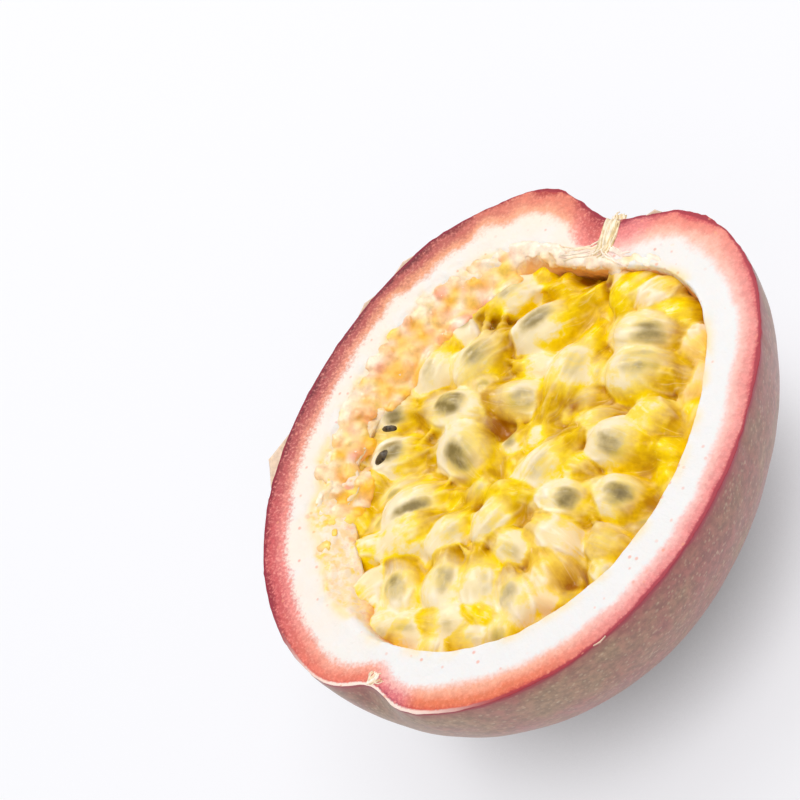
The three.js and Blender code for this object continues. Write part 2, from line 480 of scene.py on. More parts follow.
class FruitColours(PropertyGroup):
    """Colours that a user may want to change."""

    skin: colour_property("Skin", "Mauve-brown of the ripe skin", "#9c5c52")
    skin_dull: colour_property("Dull skin", "Browner and greener patches of the skin", "#9c7e62")
    lenticel: colour_property("Lenticels", "Pale dots all over the skin", "#cab294")
    skin_line: colour_property("Skin line", "The skin itself where the knife went through", "#8e1832")
    pith: colour_property("Pith", "The dry white pith", "#e7e5e3")
    pith_cream: colour_property("Creamy pith", "The pith where it nears the stem and the left wall", "#f0e2d2")
    lining: colour_property("Lining", "The spongy peach-coloured lining of the cavity", "#f8d6a2")
    lining_pink: colour_property("Pink lining", "Pinker patches of the lining", "#f2a480")
    lining_yellow: colour_property("Yellow lining", "Patches of the lining that are wet with juice", "#fad254")
    # Wet wall is painted shade on the cavity's wall below its edge, over the wall's own orange tissue.
    wet_wall_shade: colour_property("Wet wall", "The cavity's wall where juice stands on it", "#eca048")
    jelly: colour_property("Jelly", "Pale jelly of a sac", "#f4dfac")
    yellow: colour_property("Juice", "Yellow juice", "#fad600")
    # Deep juice and Hollow also carry painted shade: in the pulp's creases, low places and hollows, and Hollow
    # further down the cavity's wall.
    amber: colour_property("Deep juice", "Juice seen through more of itself", "#deb000")
    deep: colour_property("Hollow", "The darkest hollows between the sacs", "#a46400")
    milk: colour_property("Membrane", "Creases and taut folds of the sacs' skins", "#fcf0dc")
    # Haze is also the painted sheen on a sac's lit side and on its faces that look up.
    haze_and_sheen: colour_property("Haze", "The milky skin of a sac round its seed", "#f0e4ca")
    seed_rim: colour_property("Seed's edge", "Jelly that a seed darkens", "#cca838")
    seed: colour_property("Seed", "A seed seen through the jelly", "#8c7844")
    seed_core: colour_property("Seed's middle", "A seed where it nearly touches the skin", "#4c3e26")
    flesh: colour_property("Flesh", "Peach-coloured flesh that hangs from the wall", "#f8cc90")
    curl: colour_property("Skin curl", "Dry curl of skin at the rim", "#e8cdb4")


# --- Materials ----------------------------------------------------------------------------------------------


SMOOTH = {"interpolation_type": "SMOOTHSTEP"}


def cover(tree, base, colour, value, limits, share=(0, 1), where=None):
    """Lays a colour over a base. Its share changes smoothly while the value goes from one limit to the other,
    and is scaled by where."""
    amount = add(tree, "MapRange", 0, (value, *limits, *share), **SMOOTH)
    if where is not None:
        amount = add(tree, "Math", 0, (amount, where), operation="MULTIPLY")
    return add(tree, "Mix", "Result", (amount, base, colour), data_type="RGBA")


def shade(tree, base, value, limits, strength):
    """Makes a colour darker and lighter while the value goes from one limit to the other."""
    amount = add(tree, "MapRange", 0, (value, *limits, *strength), **SMOOTH)
    return add(tree, "VectorMath", "Vector", (base, amount), operation="SCALE")


def sway(tree, depth, texture, reach, where=1.0):
    """Moves a depth back and forth with a texture, whose middle is 0.5."""
    centred = add(tree, "Math", 0, (texture, 0.5), operation="SUBTRACT")
    centred = add(tree, "Math", 0, (centred, where), operation="MULTIPLY")
    return add(tree, "Math", 0, (centred, reach, depth), operation="MULTIPLY_ADD")


def passion_fruit_skin():
    """Ripe waxy skin: leathery, a little uneven, with a soft wax gloss and pale lenticels up to 0.5 mm wide,
    0.5 to 1 mm apart. The eye gets mauve-brown with a pale dust of dots and a crimson band along the cut."""
    colours = bpy.context.scene.fruit_colours
    material, tree, spot = new_material("waxy_passion_fruit_skin")
    blotch = add(tree, "TexNoise", "Fac", {"Vector": spot, "Scale": 110, "Detail": 4, "Roughness": 0.62})
    grain = add(tree, "TexNoise", "Fac", {"Vector": spot, "Scale": 1200, "Detail": 4, "Roughness": 0.65})
    # The skin is browner towards the blossom end.
    along = add(tree, "SeparateXYZ", "Y", {"Vector": spot})
    browner = add(tree, "MapRange", 0, (along, -8 * MM, -34 * MM, 0, 0.06), **SMOOTH)
    dull = add(tree, "Math", 0, (blotch, browner), operation="ADD")
    base = cover(tree, colours.skin, colours.skin_dull, dull, (0.38, 0.68), (0, 0.9))
    base = shade(tree, base, grain, (0.34, 0.66), (0.76, 1.18))
    relief = grain
    # Two sets of dots: how many per metre, the largest radius as a share of their spacing, and how pale.
    for density, radius, strength in ((1000, 0.24, 0.34), (1900, 0.36, 0.36)):
        dots = add(tree, "TexVoronoi", None, {"Vector": spot, "Scale": density, "Randomness": 1.0})
        size = add(tree, "SeparateColor", "Red", {"Color": dots.outputs["Color"]})
        size = add(tree, "MapRange", 0, (size, 0, 1, -0.05, radius), **SMOOTH)
        near = add(tree, "Math", 0, (size, dots.outputs["Distance"]), operation="SUBTRACT")
        dot = add(tree, "MapRange", 0, (near, -0.12, 0.12, 0, strength), **SMOOTH)
        base = add(tree, "Mix", "Result", (dot, base, colours.lenticel), data_type="RGBA")
        relief = add(tree, "Math", 0, (relief, dot), operation="ADD")
    # The crimson of the rind shows through the skin near the cut.
    rim_depth = add(tree, "Attribute", "Fac", attribute_name="rim_depth")
    band = add(tree, "Math", 0, (blotch, 1.1 * MM, rim_depth), operation="MULTIPLY_ADD")
    crimson = add(tree, "Attribute", "Vector", attribute_name="blush_outer")
    crimson = add(tree, "Mix", "Result", (0.2, colours.skin_line, crimson), data_type="RGBA")
    base = cover(tree, base, linear("#9c3e40"), band, (2.8 * MM, 0.9 * MM), (0, 0.5))
    base = cover(tree, base, crimson, band, (1.2 * MM, 0.8 * MM))
    shader = add(
        tree,
        "BsdfPrincipled",
        "BSDF",
        {
            "Base Color": base,
            "Roughness": add(tree, "MapRange", 0, (blotch, 0.3, 0.7, 0.36, 0.5), **SMOOTH),
            "Normal": add(tree, "Bump", "Normal", {"Strength": 0.3, "Distance": 0.1 * MM, "Height": relief}),
            "IOR": 1.45,
            "Coat Weight": 0.3,
            "Coat Roughness": 0.3,
        },
    )
    add(tree, "OutputMaterial", None, {"Surface": shader})
    return material


def cut_flesh():
    """Freshly cut rind and pith. The eye gets a thin maroon line of skin, a red layer about 3 mm deep that
    fades into the pith with a fine grit, dry white pith with pin-prick vessels, and a damp, spongy lining past the
    cavity's edge. The cavity's wall and the rind's left side carry painted shade, and the pale grains and a pale
    edge at the blossom end are partly painted highlights."""
    colours = bpy.context.scene.fruit_colours
    material, tree, spot = new_material("cut_rind_and_pith")
    names = "skin_depth rind_depth wall_depth grit mottled cream pale_edge edge_near lining".split()
    number = {name: add(tree, "Attribute", "Fac", attribute_name=name) for name in names}
    names = ("blush_outer", "blush_middle", "blush_inner", "grain_place")
    tint = {name: add(tree, "Attribute", "Vector", attribute_name=name) for name in names}
    # Radial grain about 0.6 mm wide, soft waves about 5 mm long, and grit of about 0.4 mm.
    fray = {"Vector": tint["grain_place"], "Scale": 1.3, "Detail": 3, "Roughness": 0.6}
    fray = add(tree, "TexNoise", "Fac", fray)
    wave = add(tree, "TexNoise", "Fac", {"Vector": spot, "Scale": 220, "Detail": 2, "Roughness": 0.5})
    speck = add(tree, "TexNoise", "Fac", {"Vector": spot, "Scale": 2600, "Detail": 2, "Roughness": 0.65})
    # They move the bands of colour in and out: how far in mm, and where.
    shift = 0.0
    moves = ((fray, 0.5, 1.0), (wave, 4.5, number["mottled"]), (speck, 2.2, number["grit"]))
    for texture, reach, where in moves:
        shift = sway(tree, shift, texture, reach * MM, where)
    depth = add(tree, "Math", 0, (number["skin_depth"], shift), operation="ADD")
    depth = add(tree, "Math", 0, (depth, number["rind_depth"]), operation="DIVIDE")
    base = cover(tree, tint["blush_outer"], tint["blush_middle"], depth, (0.03, 0.34))
    base = cover(tree, base, tint["blush_inner"], depth, (0.36, 0.85))
    # Cells hold more and less red, in patches about 0.5 mm across.
    cells = add(tree, "TexNoise", "Fac", {"Vector": spot, "Scale": 1300, "Detail": 3, "Roughness": 0.7})
    base = shade(tree, base, cells, (0.36, 0.66), (0.92, 1.05))
    # Torn cells show as pale grains, partly paler torn tissue and partly a painted glint where they catch the light.
    base = cover(tree, base, linear("#eeaea0"), speck, (0.5, 0.74), (0, 0.42), number["grit"])
    pith = cover(tree, colours.pith, colours.pith_cream, wave, (0.3, 0.6), (0.5, 1), number["cream"])
    base = cover(tree, base, pith, depth, (0.78, 1.2))
    # Painted highlight: the skin's line is painted pale at the blossom end.
    edge = add(tree, "Mix", "Result", (0.3, colours.skin_line, tint["blush_outer"]), data_type="RGBA")
    edge = add(tree, "Mix", "Result", (number["pale_edge"], edge, linear("#f6ddd0")), data_type="RGBA")
    line = add(tree, "Math", 0, (shift, 0.3, number["skin_depth"]), operation="MULTIPLY_ADD")
    base = cover(tree, base, edge, line, (0.5 * MM, 0.24 * MM))
    # Vessels: salmon pin-pricks 0.2 to 0.4 mm wide, some 2 mm apart, and closer together by the cavity's edge.
    pricks = add(tree, "TexVoronoi", None, {"Vector": spot, "Scale": 800, "Randomness": 1.0})
    chance = add(tree, "SeparateColor", "Green", {"Color": pricks.outputs["Color"]})
    chance = add(tree, "Math", 0, (number["edge_near"], 0.5, chance), operation="MULTIPLY_ADD")
    chance = add(tree, "MapRange", 0, (chance, 0.45, 0.85), **SMOOTH)
    base = cover(tree, base, linear("#e8987c"), pricks.outputs["Distance"], (0.22, 0.08), (0, 0.65), chance)
    base = cover(tree, base, colours.lining_yellow, wave, (0.4, 0.6), (0, 0.5), number["edge_near"])
    # Lining: cream, peach, pink and yellow patches 1 to 3 mm across, mottled at about 0.7 mm.
    patch = add(tree, "TexNoise", None, {"Vector": spot, "Scale": 420, "Detail": 3, "Roughness": 0.65})
    hue = add(tree, "SeparateColor", None, {"Color": patch.outputs["Color"]})
    mottle = add(tree, "TexNoise", "Fac", {"Vector": spot, "Scale": 1100, "Detail": 2, "Roughness": 0.6})
    lining = cover(tree, colours.lining, colours.lining_pink, hue.outputs["Red"], (0.52, 0.76))
    lining = cover(tree, lining, colours.lining_yellow, hue.outputs["Blue"], (0.48, 0.68))
    lining = cover(tree, lining, colours.pith_cream, mottle, (0.38, 0.64), (0, 0.75))
    into = sway(tree, number["lining"], patch.outputs["Fac"], 1.8)
    base = cover(tree, base, lining, into, (0.3, 0.8))
    # The wall's lower part, from about 1 mm below its edge, is painted orange and then deep brown further down:
    # partly the wall's own orange tissue, partly painted shade in the cavity.
    wall = sway(tree, number["wall_depth"], mottle, 3 * MM)
    base = cover(tree, base, colours.wet_wall_shade, wall, (0.6 * MM, 2.2 * MM), (0, 0.9))
    base = cover(tree, base, colours.deep, wall, (3.5 * MM, 7 * MM), (0, 0.8))
    relief = add(tree, "Math", 0, (fray, speck), operation="ADD")
    relief = add(tree, "Math", 0, (relief, mottle), operation="ADD")
    shader = add(
        tree,
        "BsdfPrincipled",
        "BSDF",
        {
            "Base Color": base,
            "Roughness": add(tree, "MapRange", 0, (number["lining"], 0.2, 0.9, 0.6, 0.36), **SMOOTH),
            "Normal": add(tree, "Bump", "Normal", {"Strength": 0.4, "Distance": 0.14 * MM, "Height": relief}),
            "IOR": 1.4,
            "Subsurface Weight": 0.3,
            "Subsurface Radius": (1.0, 0.7, 0.55),
            "Subsurface Scale": 0.5 * MM,
        },
    )
    add(tree, "OutputMaterial", None, {"Surface": shader})
    return material


def juice_sacs():
    """Juice sacs: thin wet skins over clear yellow juice, with a dark seed in each. The eye gets cream skins
    with fine taut creases, yellow tails, amber between the sacs that painted shade deepens in creases and hollows,
    blurred olive-grey seeds painted darker on their shaded side with a painted milky sheen on their lit side, and a
    film of gloss."""
    sizes, colours = bpy.context.scene.fruit_sizes, bpy.context.scene.fruit_colours
    material, tree, spot = new_material("wet_juice_sacs")
    names = ("tone", "seed", "haze_and_sheen", "flesh", "fold")
    number = {name: add(tree, "Attribute", "Fac", attribute_name=name) for name in names}
    sac_place = add(tree, "Attribute", "Vector", attribute_name="sac_place")
    # Fine creases in the sac's skin, 0.3 to 0.6 mm apart, which run along it and meet at its ends.
    crease = {"Vector": sac_place, "Scale": 1.6, "Detail": 4, "Roughness": 0.62, "Distortion": 0.6}
    crease = add(tree, "TexNoise", "Fac", crease)
    cloud = add(tree, "TexNoise", "Fac", {"Vector": spot, "Scale": 480, "Detail": 3, "Roughness": 0.6})
    # The juice's colour wanders with both, from pale jelly to deep amber.
    along_crease = add(tree, "MapRange", 0, (crease, 0.32, 0.68, 0.14, -0.18), **SMOOTH)
    in_cloud = add(tree, "MapRange", 0, (cloud, 0.3, 0.7, -0.4, 0.5), **SMOOTH)
    wander = add(tree, "Math", 0, (along_crease, in_cloud), operation="ADD")
    # The stored tone carries painted shade: more amber in cracks, creases, low places, steep sides and hollows.
    shown = add(tree, "Math", 0, (number["tone"], wander), operation="ADD")
    ramp = add(tree, "ValToRGB", None, {"Fac": add(tree, "MapRange", 0, (shown, 0, 3))})
    elements = ramp.color_ramp.elements
    elements[0].color, elements[1].color = colours.jelly, colours.deep
    for at, colour in ((0.1, colours.jelly), (0.28, colours.yellow), (0.58, colours.amber)):
        elements.new(at).color = colour
    base = cover(tree, ramp.outputs["Color"], colours.flesh, crease, (0.35, 0.6), (0.7, 1), number["flesh"])
    # Painted sheen: the milky haze round each seed, laid on the seed's lit side and on faces that look up.
    base = cover(tree, base, colours.haze_and_sheen, crease, (0.3, 0.6), (1, 0.55), number["haze_and_sheen"])
    folded = add(tree, "MapRange", 0, (crease, 0.56, 0.7, 0, 0.3), **SMOOTH)
    folded = add(tree, "Math", 0, (number["fold"], folded), operation="MAXIMUM")
    base = cover(tree, base, colours.milk, number["tone"], (0.5, 1.3), (1, 0.25), folded)
    # Seeds show through in patches, darkest in their middles.
    blotch = add(tree, "MapRange", 0, (cloud, 0.34, 0.66, 1.15, 0.75), **SMOOTH)
    seen = add(tree, "Math", 0, (blotch, number["seed"]), operation="MULTIPLY", use_clamp=True)
    base = cover(tree, base, colours.seed_rim, seen, (0, 0.35), (0, 0.35))
    base = cover(tree, base, colours.seed, seen, (0.08, 0.75))
    base = cover(tree, base, colours.seed_core, seen, (0.6, 1.15), (0, 0.65))
    base = cover(tree, base, colours.milk, crease, (0.6, 0.72), (0, 0.12))
    relief = add(tree, "Math", 0, (cloud, 0.6, crease), operation="MULTIPLY_ADD")
    shader = add(
        tree,
        "BsdfPrincipled",
        "BSDF",
        {
            "Base Color": base,
            "Roughness": 0.4,
            "Normal": add(tree, "Bump", "Normal", {"Strength": 0.28, "Distance": 0.2 * MM, "Height": relief}),
            "IOR": 1.37,
            "Specular IOR Level": 0.0,
            "Subsurface Weight": 0.2,
            "Subsurface Radius": (1.0, 0.9, 0.4),
            "Subsurface Scale": 0.35 * MM,
            "Coat Weight": 0.5 if sizes.wet else 0.0,
            "Coat Roughness": 0.12,
            "Coat IOR": 1.36,
        },
    )
    add(tree, "OutputMaterial", None, {"Surface": shader})
    return material


def tinted_tissue(name, gloss, softness):
    """Plant tissue whose colour is stored on each vertex. The eye gets it mottled at about 0.7 mm. Gloss is the
    share of juice on it, and softness the share of light that wanders inside."""
    material, tree, spot = new_material(name)
    tint = add(tree, "Attribute", "Vector", attribute_name="tint")
    cloud = add(tree, "TexNoise", "Fac", {"Vector": spot, "Scale": 1300, "Detail": 3, "Roughness": 0.6})
    shader = add(
        tree,
        "BsdfPrincipled",
        "BSDF",
        {
            "Base Color": shade(tree, tint, cloud, (0.3, 0.7), (0.88, 1.1)),
            "Roughness": 0.55 - 0.3 * gloss,
            "Normal": add(tree, "Bump", "Normal", {"Strength": 0.4, "Distance": 0.12 * MM, "Height": cloud}),
            "IOR": 1.38,
            "Subsurface Weight": softness,
            "Subsurface Radius": (1.0, 0.75, 0.5),
            "Subsurface Scale": 0.4 * MM,
            "Coat Weight": 0.6 * gloss,
            "Coat Roughness": 0.12,
        },
    )
    add(tree, "OutputMaterial", None, {"Surface": shader})
    return material


def wet_seed():
    """A bare seed: hard and black-brown, with pits about 0.4 mm wide. Its film of juice mirrors the light."""
    material, tree, spot = new_material("wet_black_seed")
    pits = add(tree, "TexVoronoi", "Distance", {"Vector": spot, "Scale": 2300, "Randomness": 0.8})
    shader = add(
        tree,
        "BsdfPrincipled",
        "BSDF",
        {
            "Base Color": cover(tree, linear("#20180e"), linear("#54442c"), pits, (0.1, 0.6)),
            "Roughness": 0.3,
            "Normal": add(tree, "Bump", "Normal", {"Strength": 0.3, "Distance": 0.08 * MM, "Height": pits}),
            "IOR": 1.4,
            "Specular IOR Level": 0.2,
            "Coat Weight": 0.5,
            "Coat Roughness": 0.04,
            "Coat IOR": 1.36,
        },
    )
    add(tree, "OutputMaterial", None, {"Surface": shader})
    return material


def light_table():
    """A white light table under the fruit: matt, lit a little from below, so that shadows on it stay faint. Its
    glow is darkened by an ambient occlusion node where the fruit stands within 14 mm over it, a painted contact
    shadow."""
    material, tree, _ = new_material("white_light_table")
    shadow_free_share = add(tree, "AmbientOcclusion", "AO", {"Distance": 14 * MM})
    shader = add(
        tree,
        "BsdfPrincipled",
        "BSDF",
        {
            "Base Color": linear("#8f8f90"),
            "Roughness": 0.9,
            "Emission Color": linear("#fbfbff"),
            "Emission Strength": add(tree, "MapRange", 0, (shadow_free_share, 0, 0.85, 0.1, 0.66), **SMOOTH),
        },
    )
    add(tree, "OutputMaterial", None, {"Surface": shader})
    return material


# --- Shell --------------------------------------------------------------------------------------------------

SIDES = 400  # points round the rim, about 0.5 mm apart
SKIN_ROWS = 58
CUT_ROWS = 30
LINING_FINE_ROWS = 24
# Relief: how far apart its waves are and how high, in mm.
RIM_WAVES = {"spacing": 5.5, "height": 0.16}
RIM_TEARS = {"spacing": 1.1, "height": 0.08}
CUT_WAVES = {"spacing": 3.2, "height": 0.09}
SKIN_DENTS = {"spacing": 7, "height": 0.14}
SPONGE_SPACING = 1.3
# The cavity's edge is ragged: its height on the right, and how much more it has on the left.
RAGGED = {"spacing": 4.5, "height": 0.18, "more_left": 0.5}
NOT_NEAR = 99  # a distance in mm that keeps a point away from a corner


def shell_rows():
    """Where the shell's rings lie: 0 to 1 up the skin, 1 to 2 across the cut, 2 to 3 down the lining. Those
    that crowd at the edges of the cut are given in degrees from it."""
    skin = [k / SKIN_ROWS for k in range(SKIN_ROWS)] + [1 - d / 90 for d in (1.6, 1.1, 0.7, 0.4, 0.12)]
    cut = [1, 1.012, 1.026, 1.045] + [1.07 + 0.89 * k / CUT_ROWS for k in range(CUT_ROWS + 1)]
    lining = [2 + d / 90 for d in (0, 0.4, 0.8, 1.3, 1.9, 2.6)]
    lining += [2 + (3.3 + k * 0.7) / 90 for k in range(LINING_FINE_ROWS)]
    lining += [2 + d / 90 for d in (22, 26, 32, 40, 50, 62, 75, 90)]
    return sorted(set(skin + cut + [1.98] + lining))


def side_softness(turn):
    """1 on the left and at the top left, where the cavity's edge is soft, and 0 on the right."""
    x, y = np.sin(np.radians(turn)), np.cos(np.radians(turn))
    return smoothstep(-0.25, 0.45, -x + 0.18 * y)


def soften_corner(points, before, after, distance, radius):
    """Pulls the points within a radius of a corner onto a round one. Before and after are unit vectors that
    lead away from the corner along its two sides, and distance is measured across it."""
    share = np.clip((distance + radius) / (2 * radius), 0, 1)[:, None]
    near = np.abs(distance) < radius
    corner = points - np.where(distance[:, None] < 0, -distance[:, None] * before, distance[:, None] * after)
    start, end = corner + before * radius[:, None], corner + after * radius[:, None]
    curve = (1 - share) ** 2 * start + 2 * share * (1 - share) * corner + share**2 * end
    return np.where(near[:, None], curve, points)


def blush_weights(turn):
    """How much each stop of the blush counts at each angle."""
    weights = []
    for middle, spread, *_ in BLUSH:
        strength = NARROW_BLUSH if spread < 5 else 1
        weights.append(strength * np.exp(-((turn_away(turn, middle) / spread) ** 2)) + 1e-9)
    weights = np.stack(weights, axis=1)
    return weights / weights.sum(axis=1, keepdims=True)


class FRUIT_OT_shell(Operator):
    """Make the shell: skin, cut rind and pith, and the lining of the cavity, as one closed mesh"""

    bl_idname = "fruit.shell"
    bl_label = "Shell"

    def execute(self, context):
        bm = bmesh.new()
        row_of = bm.verts.layers.float.new("row")
        ring = []
        for row in shell_rows():
            reach = row if row < 1.5 else 3 - row
            vertex = bm.verts.new((0, reach, row))
            vertex[row_of] = row
            ring.append(vertex)
        edges = [bm.edges.new(pair) for pair in zip(ring, ring[1:])]
        bmesh.ops.spin(bm, geom=ring + edges, axis=(0, 0, -1), angle=math.tau, steps=SIDES, use_merge=True)
        bmesh.ops.remove_doubles(bm, verts=bm.verts, dist=1e-6)
        mesh = to_mesh(bm, "shell")
        self.shape(mesh, context.scene.fruit_sizes)
        for polygon in mesh.polygons:
            polygon.material_index = int(self.row[list(polygon.vertices)].mean() > 1)
        outward(mesh)
        place("shell_cut_half", mesh, passion_fruit_skin(), cut_flesh(), slot="shell", replaces="shell")
        return {"FINISHED"}

    def shape(self, mesh, sizes):
        """Moves the spun bowl's points to the fruit's own outline and stores what the materials need."""
        flat = positions(mesh)
        row = np.empty(len(flat), dtype=np.float32)
        mesh.attributes["row"].data.foreach_get("value", row)
        row = row.astype(float)
        turn = np.degrees(np.arctan2(flat[:, 0], flat[:, 1]))
        down = np.select([row < 1, row > 2], [90 * (1 - row), 90 * (row - 2)], 0)
        directions = spread_directions(turn, down)
        level = spread_directions(turn, 0 * down)
        share = np.clip(row - 1, 0, 1)
        soft = side_softness(turn)
        skin, cavity = skin_radius(directions), cavity_radius(directions)
        rim, plain_edge = skin_radius(level), cavity_radius(level)
        torn = 1 + 1.2 * np.exp(-((turn_away(turn, 0) / 40) ** 4))
        on_rim = level * rim[:, None]
        wobble = roughen(on_rim, RIM_WAVES["spacing"], 3) * RIM_WAVES["height"]
        wobble += roughen(on_rim, RIM_TEARS["spacing"], 2) * RIM_TEARS["height"] * torn
        ragged = roughen(level * plain_edge[:, None] + 40, RAGGED["spacing"], 4)
        edge = plain_edge + ragged * (RAGGED["height"] + RAGGED["more_left"] * soft) - LEFT_EDGE_SHIFT * soft
        radius = np.select([row < 1, row > 2], [skin, cavity], rim + (edge - rim) * share)
        radius += np.where(row < 1, wobble * np.exp(-down / 6), np.where(row > 2, 0, wobble * (1 - share)))
        radius += np.where(row > 2, (edge - plain_edge) * np.exp(-down / 9), 0)
        points = directions * radius[:, None]
        # Distances, in mm, across the rim's edge and across the cavity's.
        arc = np.radians(down) * radius
        across_rim = np.where(row < 1, -arc, (rim - radius) * (row <= 2))
        across_edge = np.where(row > 2, arc, edge - radius)
        below = np.tile([0.0, 0.0, -1.0], (len(row), 1))
        skin_edge = np.full(len(row), sizes.skin_edge / MM)
        points = soften_corner(points, below, -level, np.where(row < 1.5, across_rim, NOT_NEAR), skin_edge)
        near_stem = np.exp(-((turn_away(turn, STEM_TURN) / 20) ** 2))
        ledge = (soft * (1 - near_stem))[:, None]
        slope = SHELF_SLOPE[1] * below - SHELF_SLOPE[0] * level
        back = SHELF_RETURN[1] * below - SHELF_RETURN[0] * level
        on_shelf = np.minimum(arc, SHELF_WIDTH)[:, None]
        shelf = edge[:, None] * level + slope * on_shelf + back * (arc[:, None] - on_shelf)
        on_ledge = ledge * ((1 - smoothstep(7, 15, arc)) * (row > 2))[:, None]
        points += (shelf - points) * on_ledge
        cavity_edge = (sizes.crisp_edge + (sizes.soft_edge - sizes.crisp_edge) * soft) / MM
        into_cavity = below + (slope - below) * ledge
        near_edge = np.where(row > 1.5, across_edge, NOT_NEAR)
        points = soften_corner(points, level, into_cavity, near_edge, cavity_edge)
        # Relief: skin dents, a slightly wavy cut, and the lining's spongy grain.
        dents = roughen(points, SKIN_DENTS["spacing"], 2) * SKIN_DENTS["height"]
        spongy = roughen(points + 90, SPONGE_SPACING, 3) * (sizes.lining_grain / MM)
        cut_wave = roughen(points * [1, 1, 0], CUT_WAVES["spacing"], 3) * CUT_WAVES["height"]
        lining = smoothstep(-3.0, 0.8, across_edge) * (row > 1.2)
        points += directions * (dents * (row < 1) * np.clip(down / 10, 0, 1))[:, None]
        points[:, 2] += cut_wave * ((row >= 1) & (row <= 2)) * smoothstep(0, 0.5, rim - radius)
        up = np.array([0, 0, 1])
        inward = np.where((row > 2)[:, None], -directions + (directions + up) * on_ledge, up)
        points += inward * (spongy * lining * (0.2 + 0.8 * soft))[:, None]
        points[:, 2] = np.maximum(points[:, 2], -CUT_HEIGHT)
        set_positions(mesh, points)
        self.row = row
        paint(mesh, "rim_depth", np.where(row < 1, arc, 0) * MM)
        self.store(mesh, turn, row, rim - radius, across_edge, soft, level)

    def store(self, mesh, turn, row, in_from_rim, across_edge, soft, level):
        """Paints what the cut's material reads: depths in metres, the blush's colours, the lining's share."""
        depth = np.where(row < 1, 0, np.where(row > 2, WALL + across_edge, in_from_rim))
        paint(mesh, "skin_depth", depth * MM)
        paint(mesh, "grain_place", np.column_stack([level[:, :2] * MEAN_RADIUS, depth * 0.35]))
        weights = blush_weights(turn)
        for k, name in enumerate(("blush_outer", "blush_middle", "blush_inner")):
            paint(mesh, name, weights @ np.array([linear(stop[2 + k])[:3] for stop in BLUSH]))
        paint(mesh, "rind_depth", weights @ np.array([stop[5] for stop in BLUSH]) * MM)
        paint(mesh, "grit", weights @ np.array([stop[6] for stop in BLUSH]))
        near_stem = np.exp(-((turn_away(turn, STEM_TURN) / 22) ** 2))
        paint(mesh, "cream", np.clip(0.8 * soft + 0.6 * near_stem, 0, 1))
        paint(mesh, "pale_edge", np.exp(-((turn_away(turn, PALE_EDGE["turn"]) / PALE_EDGE["spread"]) ** 4)))
        paint(mesh, "edge_near", np.exp(-((across_edge / 0.8) ** 2)) * (row > 1.2))
        # Painted shade: the wall's painted shade comes sooner by the stem and later on the soft left.
        wet = (1 - 0.85 * soft * (1 - near_stem)) * (1 + 1.2 * near_stem)
        paint(mesh, "wall_depth", np.where(row > 2, across_edge, 0) * wet * MM)
        paint(mesh, "mottled", np.clip(np.exp(-((turn_away(turn, -15) / 50) ** 4)) + 0.35, 0, 1))
        start = 1.4 * soft + 1.8 * near_stem
        paint(mesh, "lining", smoothstep(-start - 0.2, 1.4, across_edge) * (0.4 + 0.6 * soft) * (row > 1.2))


def outward(mesh):
    """Turns every face to point out of the closed mesh."""
    bm = bmesh.new()
    bm.from_mesh(mesh)
    bmesh.ops.recalc_face_normals(bm, faces=bm.faces)
    if bm.calc_volume(signed=True) < 0:
        bmesh.ops.reverse_faces(bm, faces=bm.faces)
    bm.to_mesh(mesh)
    bm.free()


# --- Pulp ---------------------------------------------------------------------------------------------------


def all_sacs():
    """The sacs on top, and those that fill in between them."""
    sacs = [list(sac) for sac in TOP_SACS]
    dice = random.Random(7)
    for spot in range(LOW_SAC_SPOTS):
        share = math.sqrt((spot + 0.5) / LOW_SAC_SPOTS)
        turn = GOLDEN_TURN * spot
        reach = share * float(cavity_radius(spread_directions(turn, 0)[None, :])[0]) * 0.98
        across, along = reach * math.sin(math.radians(turn)), reach * math.cos(math.radians(turn))
        if all(math.hypot(across - sac[0], along - sac[1]) > LOW_SAC_ROOM for sac in sacs):
            left = max(0, -across - 8) * 0.04
            heading = 270 - turn + dice.uniform(-25, 25)
            length = LOW_SAC_LENGTH * dice.uniform(0.75, 1.05)
            drop = LOW_SAC_DROP + left + dice.uniform(-0.4, 0.7)
            darkness, tone = dice.choice((0, 0.3, 0.5)), dice.uniform(0.5, 1.4)
            sacs.append([across, along, heading, length, drop, darkness, tone])
    return np.array(sacs, dtype=float)


def sac_frames(sacs):
    """Centres, half sizes and headings of the sacs, in mm from the middle of the cut face."""
    half = np.column_stack([sacs[:, 3], sacs[:, 3] * SAC_WIDTH, sacs[:, 3] * SAC_HEIGHT]) / 2
    centre = np.column_stack([sacs[:, 0], sacs[:, 1], -sacs[:, 4] - half[:, 2]])
    return centre, half, np.radians(sacs[:, 2])


def turned(offset, heading):
    """Offsets as a sac has them: along towards its seed end, across, and up."""
    along = offset[:, 0] * np.cos(heading) + offset[:, 1] * np.sin(heading)
    across = -offset[:, 0] * np.sin(heading) + offset[:, 1] * np.cos(heading)
    return np.column_stack([along, across, offset[:, 2]])


def sac_body(centre, half, heading, number):
    """One sac: fat round the seed, drawn out to a bent tail that droops, and a little dented."""
    turn = Matrix.Rotation(heading, 4, "Z")
    bend = random.Random(number).uniform(-0.22, 0.22)
    bm = bmesh.new()
    bmesh.ops.create_uvsphere(bm, u_segments=26, v_segments=16, radius=1)
    for vertex in bm.verts:
        along, across, up = vertex.co
        swell = 1 + SEED_END_SWELL * along
        tail = max(0.0, -along - 0.2)
        swell *= 1 - 0.4 * tail
        shape = Vector((along * half[0] * (1 + 0.16 * tail), across * half[1] * swell, up * half[2] * swell))
        shape.y += bend * half[0] * (along * along - 0.3)
        shape.z -= 0.12 * half[0] * tail
        shape *= 1 + 0.08 * noise.fractal((shape + Vector((number * 11.3, 0, 0))) / 2.6, 1.0, 2.0, 2)
        vertex.co = (turn @ shape) + Vector(centre)
    return bm


